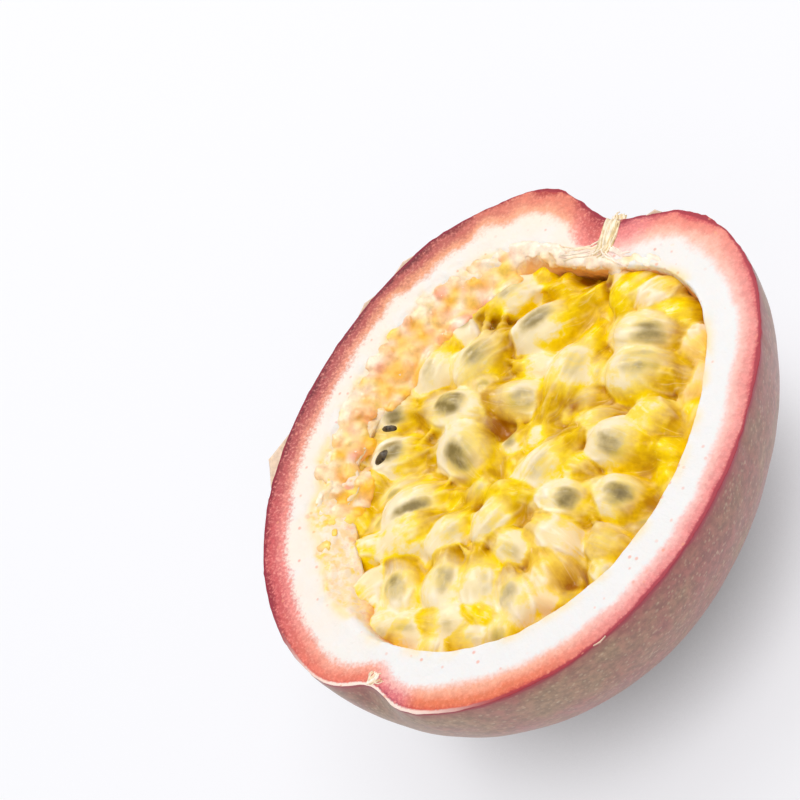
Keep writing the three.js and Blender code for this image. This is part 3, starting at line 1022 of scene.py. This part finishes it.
def bed_bowl():
    """The mass of juice that the sacs lie in, up to the bed."""
    rows = [(k / 8, 0) for k in range(9)] + [(1.0, d) for d in (6, 12, 18, 24)] + [(0.0, 24)]
    bm = bmesh.new()
    ring = [bm.verts.new((0, max(share, 1e-4), k)) for k, (share, _) in enumerate(rows)]
    edges = [bm.edges.new(pair) for pair in zip(ring, ring[1:])]
    bmesh.ops.spin(bm, geom=ring + edges, axis=(0, 0, -1), angle=math.tau, steps=72, use_merge=True)
    for vertex in bm.verts:
        share, down = rows[int(round(vertex.co.z))]
        turn = math.degrees(math.atan2(vertex.co.x, vertex.co.y))
        direction = spread_directions(np.array([turn]), np.array([float(down)]))
        x, y, z = direction[0] * (float(cavity_radius(direction)[0]) + 0.2)
        vertex.co = (x * share, y * share, -BED_DEPTH + z * 0.9 if down else -BED_DEPTH)
    bmesh.ops.remove_doubles(bm, verts=bm.verts, dist=0.01)
    bmesh.ops.recalc_face_normals(bm, faces=bm.faces)
    return bm


def cord_paths(centre, half, heading):
    """Taut cords of skin: each sac on top hangs on to the two sacs that lie nearest behind its seed end."""
    dice = random.Random(3)
    paths = []
    for number in range(len(TOP_SACS)):
        back = np.array([-math.cos(heading[number]), -math.sin(heading[number]), 0])
        start = centre[number] + back * half[number][0] * 0.45 + [0, 0, 0.55 * half[number][2]]
        offset = centre - start
        flat = np.hypot(offset[:, 0], offset[:, 1])
        ahead = (offset @ back) / np.maximum(flat, 0.1)
        cost = np.where((ahead > 0.35) & (flat > CORD["nearest"]), flat, 99)
        for other in np.argsort(cost)[:2]:
            if cost[other] < CORD["furthest"]:
                end = centre[other] + [0, 0, 0.62 * half[other][2]]
                middle = (start + end) / 2 - [0, 0, dice.uniform(*CORD["sag"])]
                middle += [*[dice.uniform(-CORD["bend"], CORD["bend"]) for _ in "xy"], 0]
                thick = dice.uniform(*CORD["thick"])
                path = []
                for t in np.linspace(0, 1, 9):
                    spot = (1 - t) ** 2 * start + 2 * t * (1 - t) * middle + t * t * end
                    path.append((spot, thick - CORD["waist"] * math.sin(math.pi * t)))
                paths.append(path)
    return paths


def draw_taut(mesh, points, pull, rounds):
    """Lets the wet skin draw taut: hollows rise towards their rims, and the tops stay where they are."""
    mean = averager(mesh)
    for k in range(rounds):
        if k % 8 == 0:
            set_positions(mesh, points)
            lean = normals(mesh)
        rise = np.sum((mean(points) - points) * lean, axis=1)
        points = points + lean * (np.clip(rise, 0, None) * pull)[:, None]
    return points


def hollow_share(points):
    """How far each point lies inside one of the hollows, and how much deeper it goes there."""
    share, depth = np.zeros(len(points)), np.zeros(len(points))
    for across, along, radius, deeper in HOLLOWS:
        here = np.exp(-(((points[:, 0] - across) ** 2 + (points[:, 1] - along) ** 2) / radius**2))
        share, depth = np.maximum(share, here), depth + deeper * here
    return share, depth


class FRUIT_OT_pulp(Operator):
    """Make the pulp: juice sacs fused into one wet heap"""

    bl_idname = "fruit.pulp"
    bl_label = "Pulp"

    def execute(self, context):
        sacs = all_sacs()
        centre, half, heading = sac_frames(sacs)
        whole = bed_bowl()
        for number in range(len(sacs)):
            join(whole, sac_body(centre[number], half[number], heading[number], number))
        cords = tubes("cords", cord_paths(centre, half, heading))
        whole.from_mesh(cords)
        bpy.data.meshes.remove(cords)
        mesh = fuse(whole, context.scene.fruit_sizes.pulp_grain / MM)
        trim_to_cavity(mesh)
        rounded = spread_over_edges(mesh, positions(mesh), 4)
        hollow, deeper = hollow_share(rounded)
        pull = (0.15 + 0.85 * smoothstep(-0.4, 0.4, roughen(rounded, 3.5))) * (1 - hollow)
        points = draw_taut(mesh, rounded, pull, TAUT_ROUNDS)
        lift = np.linalg.norm(points - rounded, axis=1)
        points[:, 2] -= deeper * smoothstep(-8, -5, points[:, 2])
        set_positions(mesh, spread_over_edges(mesh, points, 2))
        self.store(mesh, sacs, centre, half, heading, lift, hollow)
        place("pulp_juice_sacs", mesh, juice_sacs(), slot="pulp", replaces="pulp")
        return {"FINISHED"}

    def store(self, mesh, sacs, centre, half, heading, lift, hollow):
        """Works out, at each point, which sac it is on, and what shows through the sac's skin there."""
        points = positions(mesh)
        count = len(points)
        best, owner = np.full(count, 99.0), np.zeros(count, dtype=int)
        for number in range(len(sacs)):
            distance = np.linalg.norm(turned(points - centre[number], heading[number]) / half[number], axis=1)
            owner = np.where(distance < best, number, owner)
            best = np.minimum(best, distance)
        own_half, own_heading = half[owner], heading[owner]
        local = turned(points - centre[owner], own_heading)
        lean = normals(mesh)
        into = -(0.6 * lean + [0, 0, 0.4])
        into = turned(into / np.linalg.norm(into, axis=1, keepdims=True), own_heading)
        along = local[:, 0] / own_half[:, 0]
        width = own_half[:, 1] * (1 + SEED_END_SWELL * along) * np.sqrt(np.clip(1 - along**2, 0.15, 1))
        wedge = local[:, 1] / width
        shaded = turned(np.tile(SHADED_SIDE, (count, 1)), own_heading)
        stray = np.column_stack([0.6 * np.sin(2.4 * owner), 0.45 * np.sin(3.7 * owner + 1), 0 * owner])
        seen, veil = self.look_in(local, into, sacs[owner, 3], own_half, shaded, stray)
        darkness, tone = sacs[owner, 5], sacs[owner, 6]
        # Folds run from end to end of each sac, and lie thicker where the skin is drawn over a hollow.
        flow = np.column_stack([along * 0.8, wedge * 1.7, owner * 7.3])
        folded = smoothstep(-0.25, 0.35, roughen(points + 60, 4))
        fold = np.exp(-((roughen(flow, 1.0, 2) / 0.13) ** 2)) * folded
        fold = spread_over_edges(mesh, fold * smoothstep(-6, -4, points[:, 2]) * (1 - hollow), 1)
        for across, along_spot, turn, _ in BARE_SEEDS:
            offset = points - [across, along_spot, 0]
            away = np.linalg.norm(turned(offset, math.radians(turn))[:, :2] / SEED_HALF[:2], axis=1)
            crescent = np.exp(-(((away - 1.25) / 0.25) ** 2))
            crescent *= smoothstep(0.2, 1.2, -offset[:, 1] - 0.4 * offset[:, 0])
            fold = np.maximum(fold, crescent * (points[:, 2] > -6))
        set_positions(mesh, points + lean * (fold * 0.2)[:, None])
        # Painted shade: the tone turns amber in narrow cracks, sunken creases, low places, steep sides and hollows,
        # and paler on crests as painted light. Tails and taut skin between sacs are amber by their own juice.
        height = np.maximum(points[:, 2], -6)
        crack_shade = smoothstep(0.03, 0.22, spread_over_edges(mesh, height, 10) - height)
        sunk_shade = spread_over_edges(mesh, height, 60) - height
        lit_crest = smoothstep(0.0, 0.5, -sunk_shade)
        sunk_shade = 0.7 * crack_shade + 0.9 * smoothstep(0.1, 0.7, sunk_shade) + 1.4 * smoothstep(0.4, 1.1, sunk_shade) - 0.45 * lit_crest
        low = smoothstep(2.4, 5.0, -points[:, 2])
        tail = smoothstep(0.3, -0.7, along)
        between = smoothstep(0.05, 0.9, lift)
        sides = 1 - np.clip(lean[:, 2], 0, 1)
        warm = np.where(tone < 0, 0.25, tone)
        shown = warm + AMBER_AND_SHADE["tail"] * tail * (warm < 0.9) + AMBER_AND_SHADE["between"] * between
        shown = shown + AMBER_AND_SHADE["low"] * low + AMBER_AND_SHADE["side"] * sides + sunk_shade + AMBER_AND_SHADE["hollow"] * hollow
        shown = np.where(best > 1.25, np.maximum(shown, 1.1), shown)
        paint(mesh, "tone", spread_over_edges(mesh, shown, 3))
        streaks = np.clip(0.9 + 0.7 * roughen(flow * [1.2, 2.4, 1.0] + 30, 1.0, 2), 0.35, 1.25)
        dark = (1 - np.exp(-4.5 * seen)) * darkness * streaks * (1 - hollow)
        paint(mesh, "seed", spread_over_edges(mesh, dark, 4))
        # Painted sheen: the milky haze is laid more on faces that look up.
        sheen_facing_up = 0.3 + 0.7 * np.clip(lean[:, 2], 0, 1)
        milky = (1 - np.exp(-1.6 * veil)) * np.clip(darkness * 1.3, 0, 1) * sheen_facing_up
        paint(mesh, "haze_and_sheen", spread_over_edges(mesh, milky * (1 - hollow), 3))
        fleshy = np.clip(-tone * 1.6, 0, 0.8) * (1 - low) * (1 - 0.7 * tail) * (1 - hollow)
        paint(mesh, "flesh", spread_over_edges(mesh, fleshy, 3))
        paint(mesh, "fold", np.clip(fold, 0, 1) * 0.75 * (1 - 0.8 * dark))
        paint(mesh, "sac_place", flow * [1.0, 1.3, 1.0])

    def look_in(self, local, into, length, own_half, shaded, stray):
        """How much of the seed, and of the milky skin round it, is met on the way in from each point. Stray is
        how far each seed lies from its usual place."""
        seed_half = length[:, None] * [SEED["length"], SEED["width"], SEED["height"]]
        top = own_half[:, 2] * (1 - SEED["cover"]) - seed_half[:, 2]
        seed_centre = np.column_stack([SEED["along"] * own_half[:, 0], 0 * length, top])
        # Painted shade and light: the seed's dark moves towards its shaded side, and the milky veil to its lit side.
        seed_centre = seed_centre + stray + 0.3 * shaded
        veil_centre = seed_centre + own_half * [SEED["veil_ahead"], 0, 0] - shaded
        seen, veil = np.zeros(len(local)), np.zeros(len(local))
        step = LOOK["step"]
        for k in range(LOOK["steps"]):
            depth = LOOK["from"] + k * step
            away = np.linalg.norm((local + into * depth - seed_centre) / seed_half, axis=1)
            seen += np.clip((1.2 - away) / 1.0, 0, 1) ** 1.5 * math.exp(-depth / 1.4) * step
            away = np.linalg.norm((local + into * depth - veil_centre) / seed_half, axis=1)
            veil += np.clip((2.3 - away) / 1.2, 0, 1) * math.exp(-depth / 1.7) * step
        return seen, veil


def trim_to_cavity(mesh):
    """Keeps the heap inside the cavity's wall, and closes it with a few rings down to the bottom."""
    points = positions(mesh)
    reach = np.linalg.norm(points, axis=1)
    limit = cavity_radius(points / np.maximum(reach, 1e-6)[:, None]) + 0.15
    set_positions(mesh, points / np.maximum(reach / limit, 1)[:, None])
    bm = bmesh.new()
    bm.from_mesh(mesh)
    whole, cut = bm.verts[:] + bm.edges[:] + bm.faces[:], (0, 0, -PULP_CUT)
    bmesh.ops.bisect_plane(bm, geom=whole, plane_co=cut, plane_no=(0, 0, 1), clear_inner=True)
    rim = [edge for edge in bm.edges if edge.is_boundary]
    lower = math.degrees(math.asin(PULP_CUT / 24))
    for down in (lower + 12, lower + 26, lower + 42, 80, 90):
        grown = bmesh.ops.extrude_edge_only(bm, edges=rim)["geom"]
        for vertex in [v for v in grown if isinstance(v, bmesh.types.BMVert)]:
            turn = math.degrees(math.atan2(vertex.co.x, vertex.co.y))
            direction = spread_directions(np.array([turn]), np.array([float(down)]))
            vertex.co = direction[0] * float(cavity_radius(direction)[0])
        rim = [e for e in grown if isinstance(e, bmesh.types.BMEdge)]
    bmesh.ops.remove_doubles(bm, verts=bm.verts, dist=0.02)
    bm.to_mesh(mesh)
    bm.free()
    outward(mesh)


# --- Lumps of the lining ------------------------------------------------------------------------------------

LUMP_TINTS = {
    "cream": "#fbe8d0",
    "lip": "#fbe4cc",
    "peach": "#f8c88a",
    "pink": "#f0a07c",
    "yellow": "#fad258",
    "gold": "#fbb800",
}
# Lumps that stand out: tint, across, along and radius in mm.
MARKED_LUMPS = (
    ("gold", -19.1, 12.8, 0.9),
    ("gold", -19.8, 10.6, 0.8),
    ("gold", -18.9, 7.6, 1.1),
    ("gold", -18.3, -2.5, 1.0),
    ("gold", -15.8, -7.5, 1.2),
    ("gold", -17.6, -10.2, 1.1),
    ("pink", -17.6, 17.6, 1.2),
    ("pink", -21.2, 1.0, 1.2),
    ("pink", -20.8, -1.6, 1.3),
    ("pink", -20.9, 6.6, 1.0),
    ("yellow", -10.5, 22.0, 0.9),
    ("yellow", -6.6, 23.6, 0.8),
)
LIP_LUMPS = 120  # those that hang over the cavity by the stem


class FRUIT_OT_lumps(Operator):
    """Make the lumps that the lining carries, from the pith down to the sacs, fused where they touch"""

    bl_idname = "fruit.lumps"
    bl_label = "Lining lumps"

    def execute(self, context):
        sizes = context.scene.fruit_sizes
        top = top_of("shell_cut_half", "pulp_juice_sacs")
        whole = bmesh.new()
        spots, tints = [], []
        for number, (tint, x, y, radius, stretch) in enumerate(self.scatter(sizes.lumps)):
            if any(math.hypot(x - seed[0], y - seed[1]) < 1.5 + radius for seed in BARE_SEEDS):
                continue
            height, lean = top(x, y)
            by_stem = abs(math.degrees(math.atan2(x, y))) < 24
            if lean.z < 0.3 or height < (-1.3 if by_stem else -6.5):
                continue
            outermost = smoothstep(-3.5, -1, np.float64(height))
            spot = Vector((x, y, height)) - lean * radius * (0.12 + 0.22 * float(outermost))
            join(whole, lump_body(spot, lean, radius, stretch, number))
            spots.append(spot)
            tints.append(linear(LUMP_TINTS[tint])[:3])
        mesh = fuse(whole, sizes.lump_grain / MM)
        points = spread_over_edges(mesh, positions(mesh), 4)
        points = draw_taut(mesh, points, np.ones(len(points)), 10)
        set_positions(mesh, points)
        total, weight = np.zeros((len(points), 3)), np.full(len(points), 1e-9)
        for number, (spot, tint) in enumerate(zip(spots, np.array(tints))):
            near = np.exp(-np.sum((points - np.array(spot)) ** 2, axis=1) / 0.4)
            near *= 5 if number < len(MARKED_LUMPS) else 1
            total, weight = total + near[:, None] * tint, weight + near
        # Painted light and shade: the steep sides of the lumps, which lie in shade, are painted warm orange as light
        # through the tissue would make them.
        painted_glow_share = 0.6 * smoothstep(0.8, 0.1, normals(mesh)[:, 2])[:, None]
        paint(mesh, "tint", total / weight[:, None] * (1 - painted_glow_share) + painted_glow_share * linear("#f8b458")[:3])
        place("lining_lumps", mesh, tinted_tissue("damp_spongy_lining", 0.6, 0.35), slot="shell")
        return {"FINISHED"}

    def scatter(self, count):
        """Marked lumps, then random ones: more on the left, paler near the pith and yellower near the sacs."""
        dice = random.Random(11)
        for tint, x, y, radius in MARKED_LUMPS:
            yield tint, x, y, radius, 1.2
        for number in range(count + LIP_LUMPS):
            on_lip = number >= count
            turn = dice.triangular(-28, 24, -1) if on_lip else dice.triangular(-138, 6, -66)
            soft = float(side_softness(np.array([turn]))[0])
            furthest = 0.7 + 4.4 * soft - 2.6 * float(smoothstep(-40, -8, np.float64(turn)))
            inward = dice.uniform(-1.3, 0.5 - 0.03 * max(turn, 0)) if on_lip else dice.uniform(-0.2, furthest)
            share = (inward + 0.2) / 4.8
            weights = (6, 3, 1.6, 1.2, 0) if share < 0.3 else (1.6, 3, 1.6, 3, 2.6)
            tint = dice.choices(("cream", "peach", "pink", "yellow", "gold"), weights)[0]
            tint = "lip" if on_lip and dice.random() < 0.85 else tint
            tint = dice.choice(("cream", "peach")) if turn < -112 and tint == "pink" else tint
            reach = cavity_edge(turn) - inward
            radius = dice.uniform(0.25, 0.65) if on_lip else dice.uniform(0.4, 0.9) + 0.3 * share
            x, y = reach * math.sin(math.radians(turn)), reach * math.cos(math.radians(turn))
            yield tint, x, y, radius, dice.uniform(1.4, 3.0) if on_lip else dice.uniform(0.9, 1.5)


def cavity_edge(turn):
    """Distance in mm from the fruit's centre to the edge of the cavity at an angle from the stem end."""
    soft = float(side_softness(np.array([turn]))[0])
    return float(cavity_radius(spread_directions(turn, 0)[None, :])[0]) - LEFT_EDGE_SHIFT * soft


def lump_body(spot, lean, radius, stretch, number):
    """A dented blob, flattened on to the surface and drawn out along the cavity's wall."""
    along = Vector((spot.y, -spot.x, 0)).normalized()
    across = lean.cross(along).normalized()
    facing = Matrix((across.cross(lean), across, lean)).transposed()
    bm = bmesh.new()
    bmesh.ops.create_icosphere(bm, subdivisions=2, radius=1)
    for vertex in bm.verts:
        shape = vertex.co * radius
        shape *= 1 + 0.25 * noise.noise(shape * 1.6 + Vector((number * 5.7, 0, 0)))
        vertex.co = spot + facing @ Vector((shape.x * stretch, shape.y, shape.z * 0.5))
    return bm


# --- Bare seeds, fibres and torn skin -----------------------------------------------------------------------

# Seeds whose sac has burst: across, along, heading, and how far the seed stands out, in mm and degrees.
BARE_SEEDS = ((-17.4, 0.2, 200, 0.14), (-15.5, -3.7, 235, 0.26))
SEED_HALF = (1.25, 0.8, 0.7)


class FRUIT_OT_seeds(Operator):
    """Make the seeds that lie bare in the pulp"""

    bl_idname = "fruit.seeds"
    bl_label = "Bare seeds"

    def execute(self, context):
        pulp = top_of("pulp_juice_sacs")
        whole = bmesh.new()
        for x, y, heading, stand in BARE_SEEDS:
            bm = bmesh.new()
            bmesh.ops.create_uvsphere(bm, u_segments=28, v_segments=16, radius=1)
            turn = Matrix.Rotation(math.radians(heading), 4, "Z")
            centre = Vector((x, y, pulp(x, y)[0] + stand - SEED_HALF[2]))
            for vertex in bm.verts:
                along, across, up = vertex.co
                # A seed is blunt at one end and comes to a soft point at the other.
                point = 1 - 0.28 * max(0.0, along)
                shape = Vector((along * SEED_HALF[0], across * SEED_HALF[1] * point, up * SEED_HALF[2] * point))
                vertex.co = turn @ shape + centre
            join(whole, bm)
        place("bare_seeds", to_mesh(whole, "seeds"), wet_seed(), slot="pulp")
        return {"FINISHED"}


# Bundles of fibre. Each has points across and along the cut, the bundle's width at both ends, how many fibres
# it has, their radius, and how far they stand above what is under them, all in mm, and its two tints.
BUNDLES = (
    (((1.3, 31.0), (1.4, 29.4), (1.8, 27.4), (2.0, 25.8), (1.6, 24.2)), 1.8, 1.7, 30, 0.14, 0, "#d6b880", "#f8e8ca"),
    (((1.4, 30.6), (1.5, 29.2), (1.9, 27.2), (2.2, 25.4)), 1.1, 1.0, 12, 0.15, 0.1, "#ecd8ae", "#fbf0dc"),
    (((1.2, 30.0), (1.2, 30.8), (1.3, 31.3)), 1.6, 1.3, 9, 0.12, 0.02, "#d8b878", "#fbeacb"),
    (((1.8, 26.6), (0.6, 25.2), (-1.4, 24.5), (-3.6, 24.2)), 1.0, 2.2, 9, 0.15, -0.05, "#f6dcb8", "#fdf0de"),
    (((2.0, 26.2), (3.0, 25.2), (4.6, 24.7), (6.2, 24.6)), 1.0, 2.2, 8, 0.15, -0.05, "#f8d8c0", "#fdeadc"),
    (((-1.0, -28.8), (-1.1, -29.6), (-1.6, -30.8)), 1.6, 0.8, 10, 0.13, 0, "#f4dcb4", "#fff2e4"),
    (((-1.4, -30.2), (-0.4, -29.9), (0.5, -29.4)), 0.5, 0.5, 3, 0.12, 0, "#d8b07c", "#f8e4cc"),
)


class FRUIT_OT_fibres(Operator):
    """Make the woody fibres at the stem and blossom ends of the cut, and along the cavity's lip"""

    bl_idname = "fruit.fibres"
    bl_label = "Fibres"

    def execute(self, context):
        top = top_of("shell_cut_half", "lining_lumps")
        dice = random.Random(21)
        paths, tints = [], []
        for spine, start_width, end_width, count, radius, stand, dull, bright in BUNDLES:
            for _ in range(count):
                side, phase = dice.uniform(-0.5, 0.5), dice.uniform(0, 6)
                first, last = dice.uniform(0, 0.2), dice.uniform(0.7, 1)
                thick = radius * dice.uniform(0.6, 1.1)
                path = []
                for k in range(20):
                    share = first + (last - first) * k / 19
                    (x, y), (aside_x, aside_y) = self.along(spine, share)
                    offset = side * (start_width + (end_width - start_width) * share)
                    offset += 0.16 * math.sin(7 * share + phase)
                    x, y = x + aside_x * offset, y + aside_y * offset
                    height = min(max(top(x, y)[0], -1.0), 0.3) + stand * (1 - 2 * abs(side)) + 0.02
                    path.append(((x, y, height), thick * (0.35 + 0.65 * math.sin(math.pi * (k + 1) / 21))))
                paths.append(path)
                mixed = dice.random()
                tint = [(1 - mixed) * a + mixed * b for a, b in zip(linear(dull), linear(bright))]
                tints.append((path[10][0], tint[:3]))
        mesh = tubes("fibres", paths, sides=2)
        points = positions(mesh)
        count = len(points) // len(paths)
        shade = np.repeat([tint for _, tint in tints], count, axis=0)
        paint(mesh, "tint", shade * (1 + 0.16 * np.clip(roughen(points, 0.8), -1, 0))[:, None])
        place("woody_fibres", mesh, tinted_tissue("dry_woody_fibre", 0.1, 0), slot="shell")
        return {"FINISHED"}

    def along(self, spine, share):
        """Where a bundle's middle is at a share of its length, and which way is aside there."""
        spot = share * (len(spine) - 1)
        k = min(int(spot), len(spine) - 2)
        here, there = Vector(spine[k]), Vector(spine[k + 1])
        way = (there - here).normalized()
        return here.lerp(there, spot - k), (-way.y, way.x)


# Curls of skin that stand off the rim: where they start and end in degrees, and how far they reach out and
# up in mm.
CURLS = (
    (-98, -112, 1.15, 0.5),
    (-59, -65, 0.3, 0.25),
    (-47, -53, 0.35, 0.2),
    (129, 132, 0.3, 0.1),
    (10, 13, 0.35, 0.3),
)
CURL_THICKNESS = 0.14


class FRUIT_OT_curls(Operator):
    """Make the dry curls of skin that the knife left at the rim"""

    bl_idname = "fruit.curls"
    bl_label = "Skin curls"

    def execute(self, context):
        whole = bmesh.new()
        for start, end, out, up in CURLS:
            bm = bmesh.new()
            bmesh.ops.create_grid(bm, x_segments=16, y_segments=4, size=1)
            for vertex in bm.verts:
                share, width = (vertex.co.x + 1) / 2, (vertex.co.y + 1) / 2
                turn = start + (end - start) * share
                level = spread_directions(np.array([turn]), np.array([0.0]))
                rim = float(skin_radius(level)[0])
                # The curl comes to a tip halfway along, and its outer edge turns up.
                tip = 1 - abs(2 * share - 1) ** 0.85
                reach = rim - 0.15 + (0.18 + out * tip) * width
                lift = -0.25 + up * tip * width**2 + 0.2 * width
                vertex.co = (*(level[0][:2] * reach), lift)
            bmesh.ops.recalc_face_normals(bm, faces=bm.faces)
            bmesh.ops.solidify(bm, geom=bm.verts[:] + bm.edges[:] + bm.faces[:], thickness=CURL_THICKNESS)
            join(whole, bm)
        mesh = to_mesh(whole, "curls")
        outward(mesh)
        # Dry tan tissue on top, and the skin's own colour underneath.
        colours = context.scene.fruit_colours
        tan = smoothstep(-0.3, 0.5, normals(mesh)[:, 2])[:, None]
        paint(mesh, "tint", tan * colours.curl[:3] + (1 - tan) * colours.skin[:3])
        place("skin_curls", mesh, tinted_tissue("dry_skin_curl", 0, 0.2), slot="shell")
        return {"FINISHED"}


# --- Stage --------------------------------------------------------------------------------------------------

# The view, as angles in degrees about the fruit's middle: which side it is seen from, how high, and how the
# picture is rolled. The distance is in mm. The fruit's middle shows this many pixels right of and below the
# picture's.
VIEW = {"azimuth": 60.45, "elevation": 46.68, "roll": 41.93, "distance": 242.8, "right": 96.7, "below": 39.7}
LENS = 100
SENSOR = 36
PICTURE = 800
# Name, place in mm, side in metres and power in watts. The small one only adds glints to what is wet.
LAMPS = (
    ("softbox_over", (-90, 170, 600), 0.6, 2.95),
    ("softbox_front", (420, -420, 420), 0.5, 1.3),
    ("glint", (-455, 287, 434), 0.16, 0.6),
)
ROOM_LIGHT = 0.42


class FRUIT_OT_stage(Operator):
    """Make the floor, the lights and the camera"""

    bl_idname = "fruit.stage"
    bl_label = "Stage"

    def execute(self, context):
        scene = context.scene
        bm = bmesh.new()
        # Off to one side, so that no edge between its two triangles runs under the fruit.
        aside = Matrix.Translation((9, 0, 0))
        bmesh.ops.create_grid(bm, x_segments=1, y_segments=1, size=30, matrix=aside)
        mesh = to_mesh(bm, "floor")
        mesh.materials.append(light_table())
        floor = bpy.data.objects.new("floor", mesh)
        scene.collection.objects.link(floor)
        floor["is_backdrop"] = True
        for lamp in LAMPS:
            self.light(*lamp)
        self.world(scene)
        self.camera(scene)
        scene.view_settings.view_transform = "Standard"
        scene.view_settings.look = "None"
        return {"FINISHED"}

    def light(self, name, place_mm, side, watts):
        lamp = bpy.data.lights.new(name, "AREA")
        lamp.shape, lamp.size, lamp.energy = "SQUARE", side, watts
        lamp_object = bpy.data.objects.new(name, lamp)
        lamp_object.location = Vector(place_mm) * MM
        aim = Vector((0, 0, CUT_HEIGHT * MM)) - lamp_object.location
        lamp_object.rotation_euler = aim.to_track_quat("-Z", "Y").to_euler()
        bpy.context.scene.collection.objects.link(lamp_object)

    def world(self, scene):
        world = bpy.data.worlds.new("white_room")
        world.use_nodes = True
        world.node_tree.nodes.clear()
        back = add(world.node_tree, "Background", 0, {"Color": linear("#fbfbfd"), "Strength": ROOM_LIGHT})
        add(world.node_tree, "OutputWorld", None, {"Surface": back})
        scene.world = world

    def camera(self, scene):
        azimuth, elevation, roll = (math.radians(VIEW[k]) for k in ("azimuth", "elevation", "roll"))
        level = math.cos(elevation)
        back = Vector((math.sin(azimuth) * level, -math.cos(azimuth) * level, math.sin(elevation)))
        right = Vector((math.cos(azimuth), math.sin(azimuth), 0))
        up = back.cross(right)
        rolled_right = right * math.cos(roll) - up * math.sin(roll)
        rolled_up = right * math.sin(roll) + up * math.cos(roll)
        facing = Matrix((rolled_right, rolled_up, back)).transposed()
        focal = LENS / SENSOR * PICTURE
        towards = Vector((VIEW["right"] / focal, -VIEW["below"] / focal, -1))
        aimed = facing @ towards.rotation_difference(Vector((0, 0, -1))).to_matrix()
        data = bpy.data.cameras.new("camera")
        data.lens, data.sensor_width = LENS, SENSOR
        data.clip_start, data.clip_end = 0.01, 10
        camera = bpy.data.objects.new("camera", data)
        camera.matrix_world = Matrix.Translation(
            Vector((0, 0, CUT_HEIGHT * MM)) + back * VIEW["distance"] * MM
        ) @ aimed.to_4x4()
        scene.collection.objects.link(camera)
        scene.camera = camera


class FRUIT_PT_panel(Panel):
    """Lists the fruit's operators, sizes and colours"""

    bl_idname = "FRUIT_PT_panel"
    bl_label = "Passion fruit"
    bl_space_type = "VIEW_3D"
    bl_region_type = "UI"
    bl_category = "Passion fruit"

    def draw(self, context):
        for operator in OPERATORS:
            self.layout.operator(operator.bl_idname)
        for group in (context.scene.fruit_sizes, context.scene.fruit_colours):
            box = self.layout.box()
            for name in group.__annotations__:
                box.prop(group, name)


OPERATORS = (
    FRUIT_OT_shell,
    FRUIT_OT_pulp,
    FRUIT_OT_lumps,
    FRUIT_OT_seeds,
    FRUIT_OT_fibres,
    FRUIT_OT_curls,
    FRUIT_OT_stage,
)
CLASSES = (FruitSizes, FruitColours, *OPERATORS, FRUIT_PT_panel)


def register():
    for cls in CLASSES:
        bpy.utils.register_class(cls)
    bpy.types.Scene.fruit_sizes = PointerProperty(type=FruitSizes)
    bpy.types.Scene.fruit_colours = PointerProperty(type=FruitColours)


def unregister():
    del bpy.types.Scene.fruit_colours
    del bpy.types.Scene.fruit_sizes
    for cls in reversed(CLASSES):
        bpy.utils.unregister_class(cls)


def main():
    register()
    bpy.ops.fruit.shell()
    bpy.ops.fruit.pulp()
    bpy.ops.fruit.lumps()
    bpy.ops.fruit.seeds()
    bpy.ops.fruit.fibres()
    bpy.ops.fruit.curls()
    bpy.ops.fruit.stage()
    boxes = {"cad": CAD_BOX, "visual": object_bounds()}
    {name: [list(corner) for corner in box] for name, box in boxes.items()}


if __name__ == "__main__":
    main()
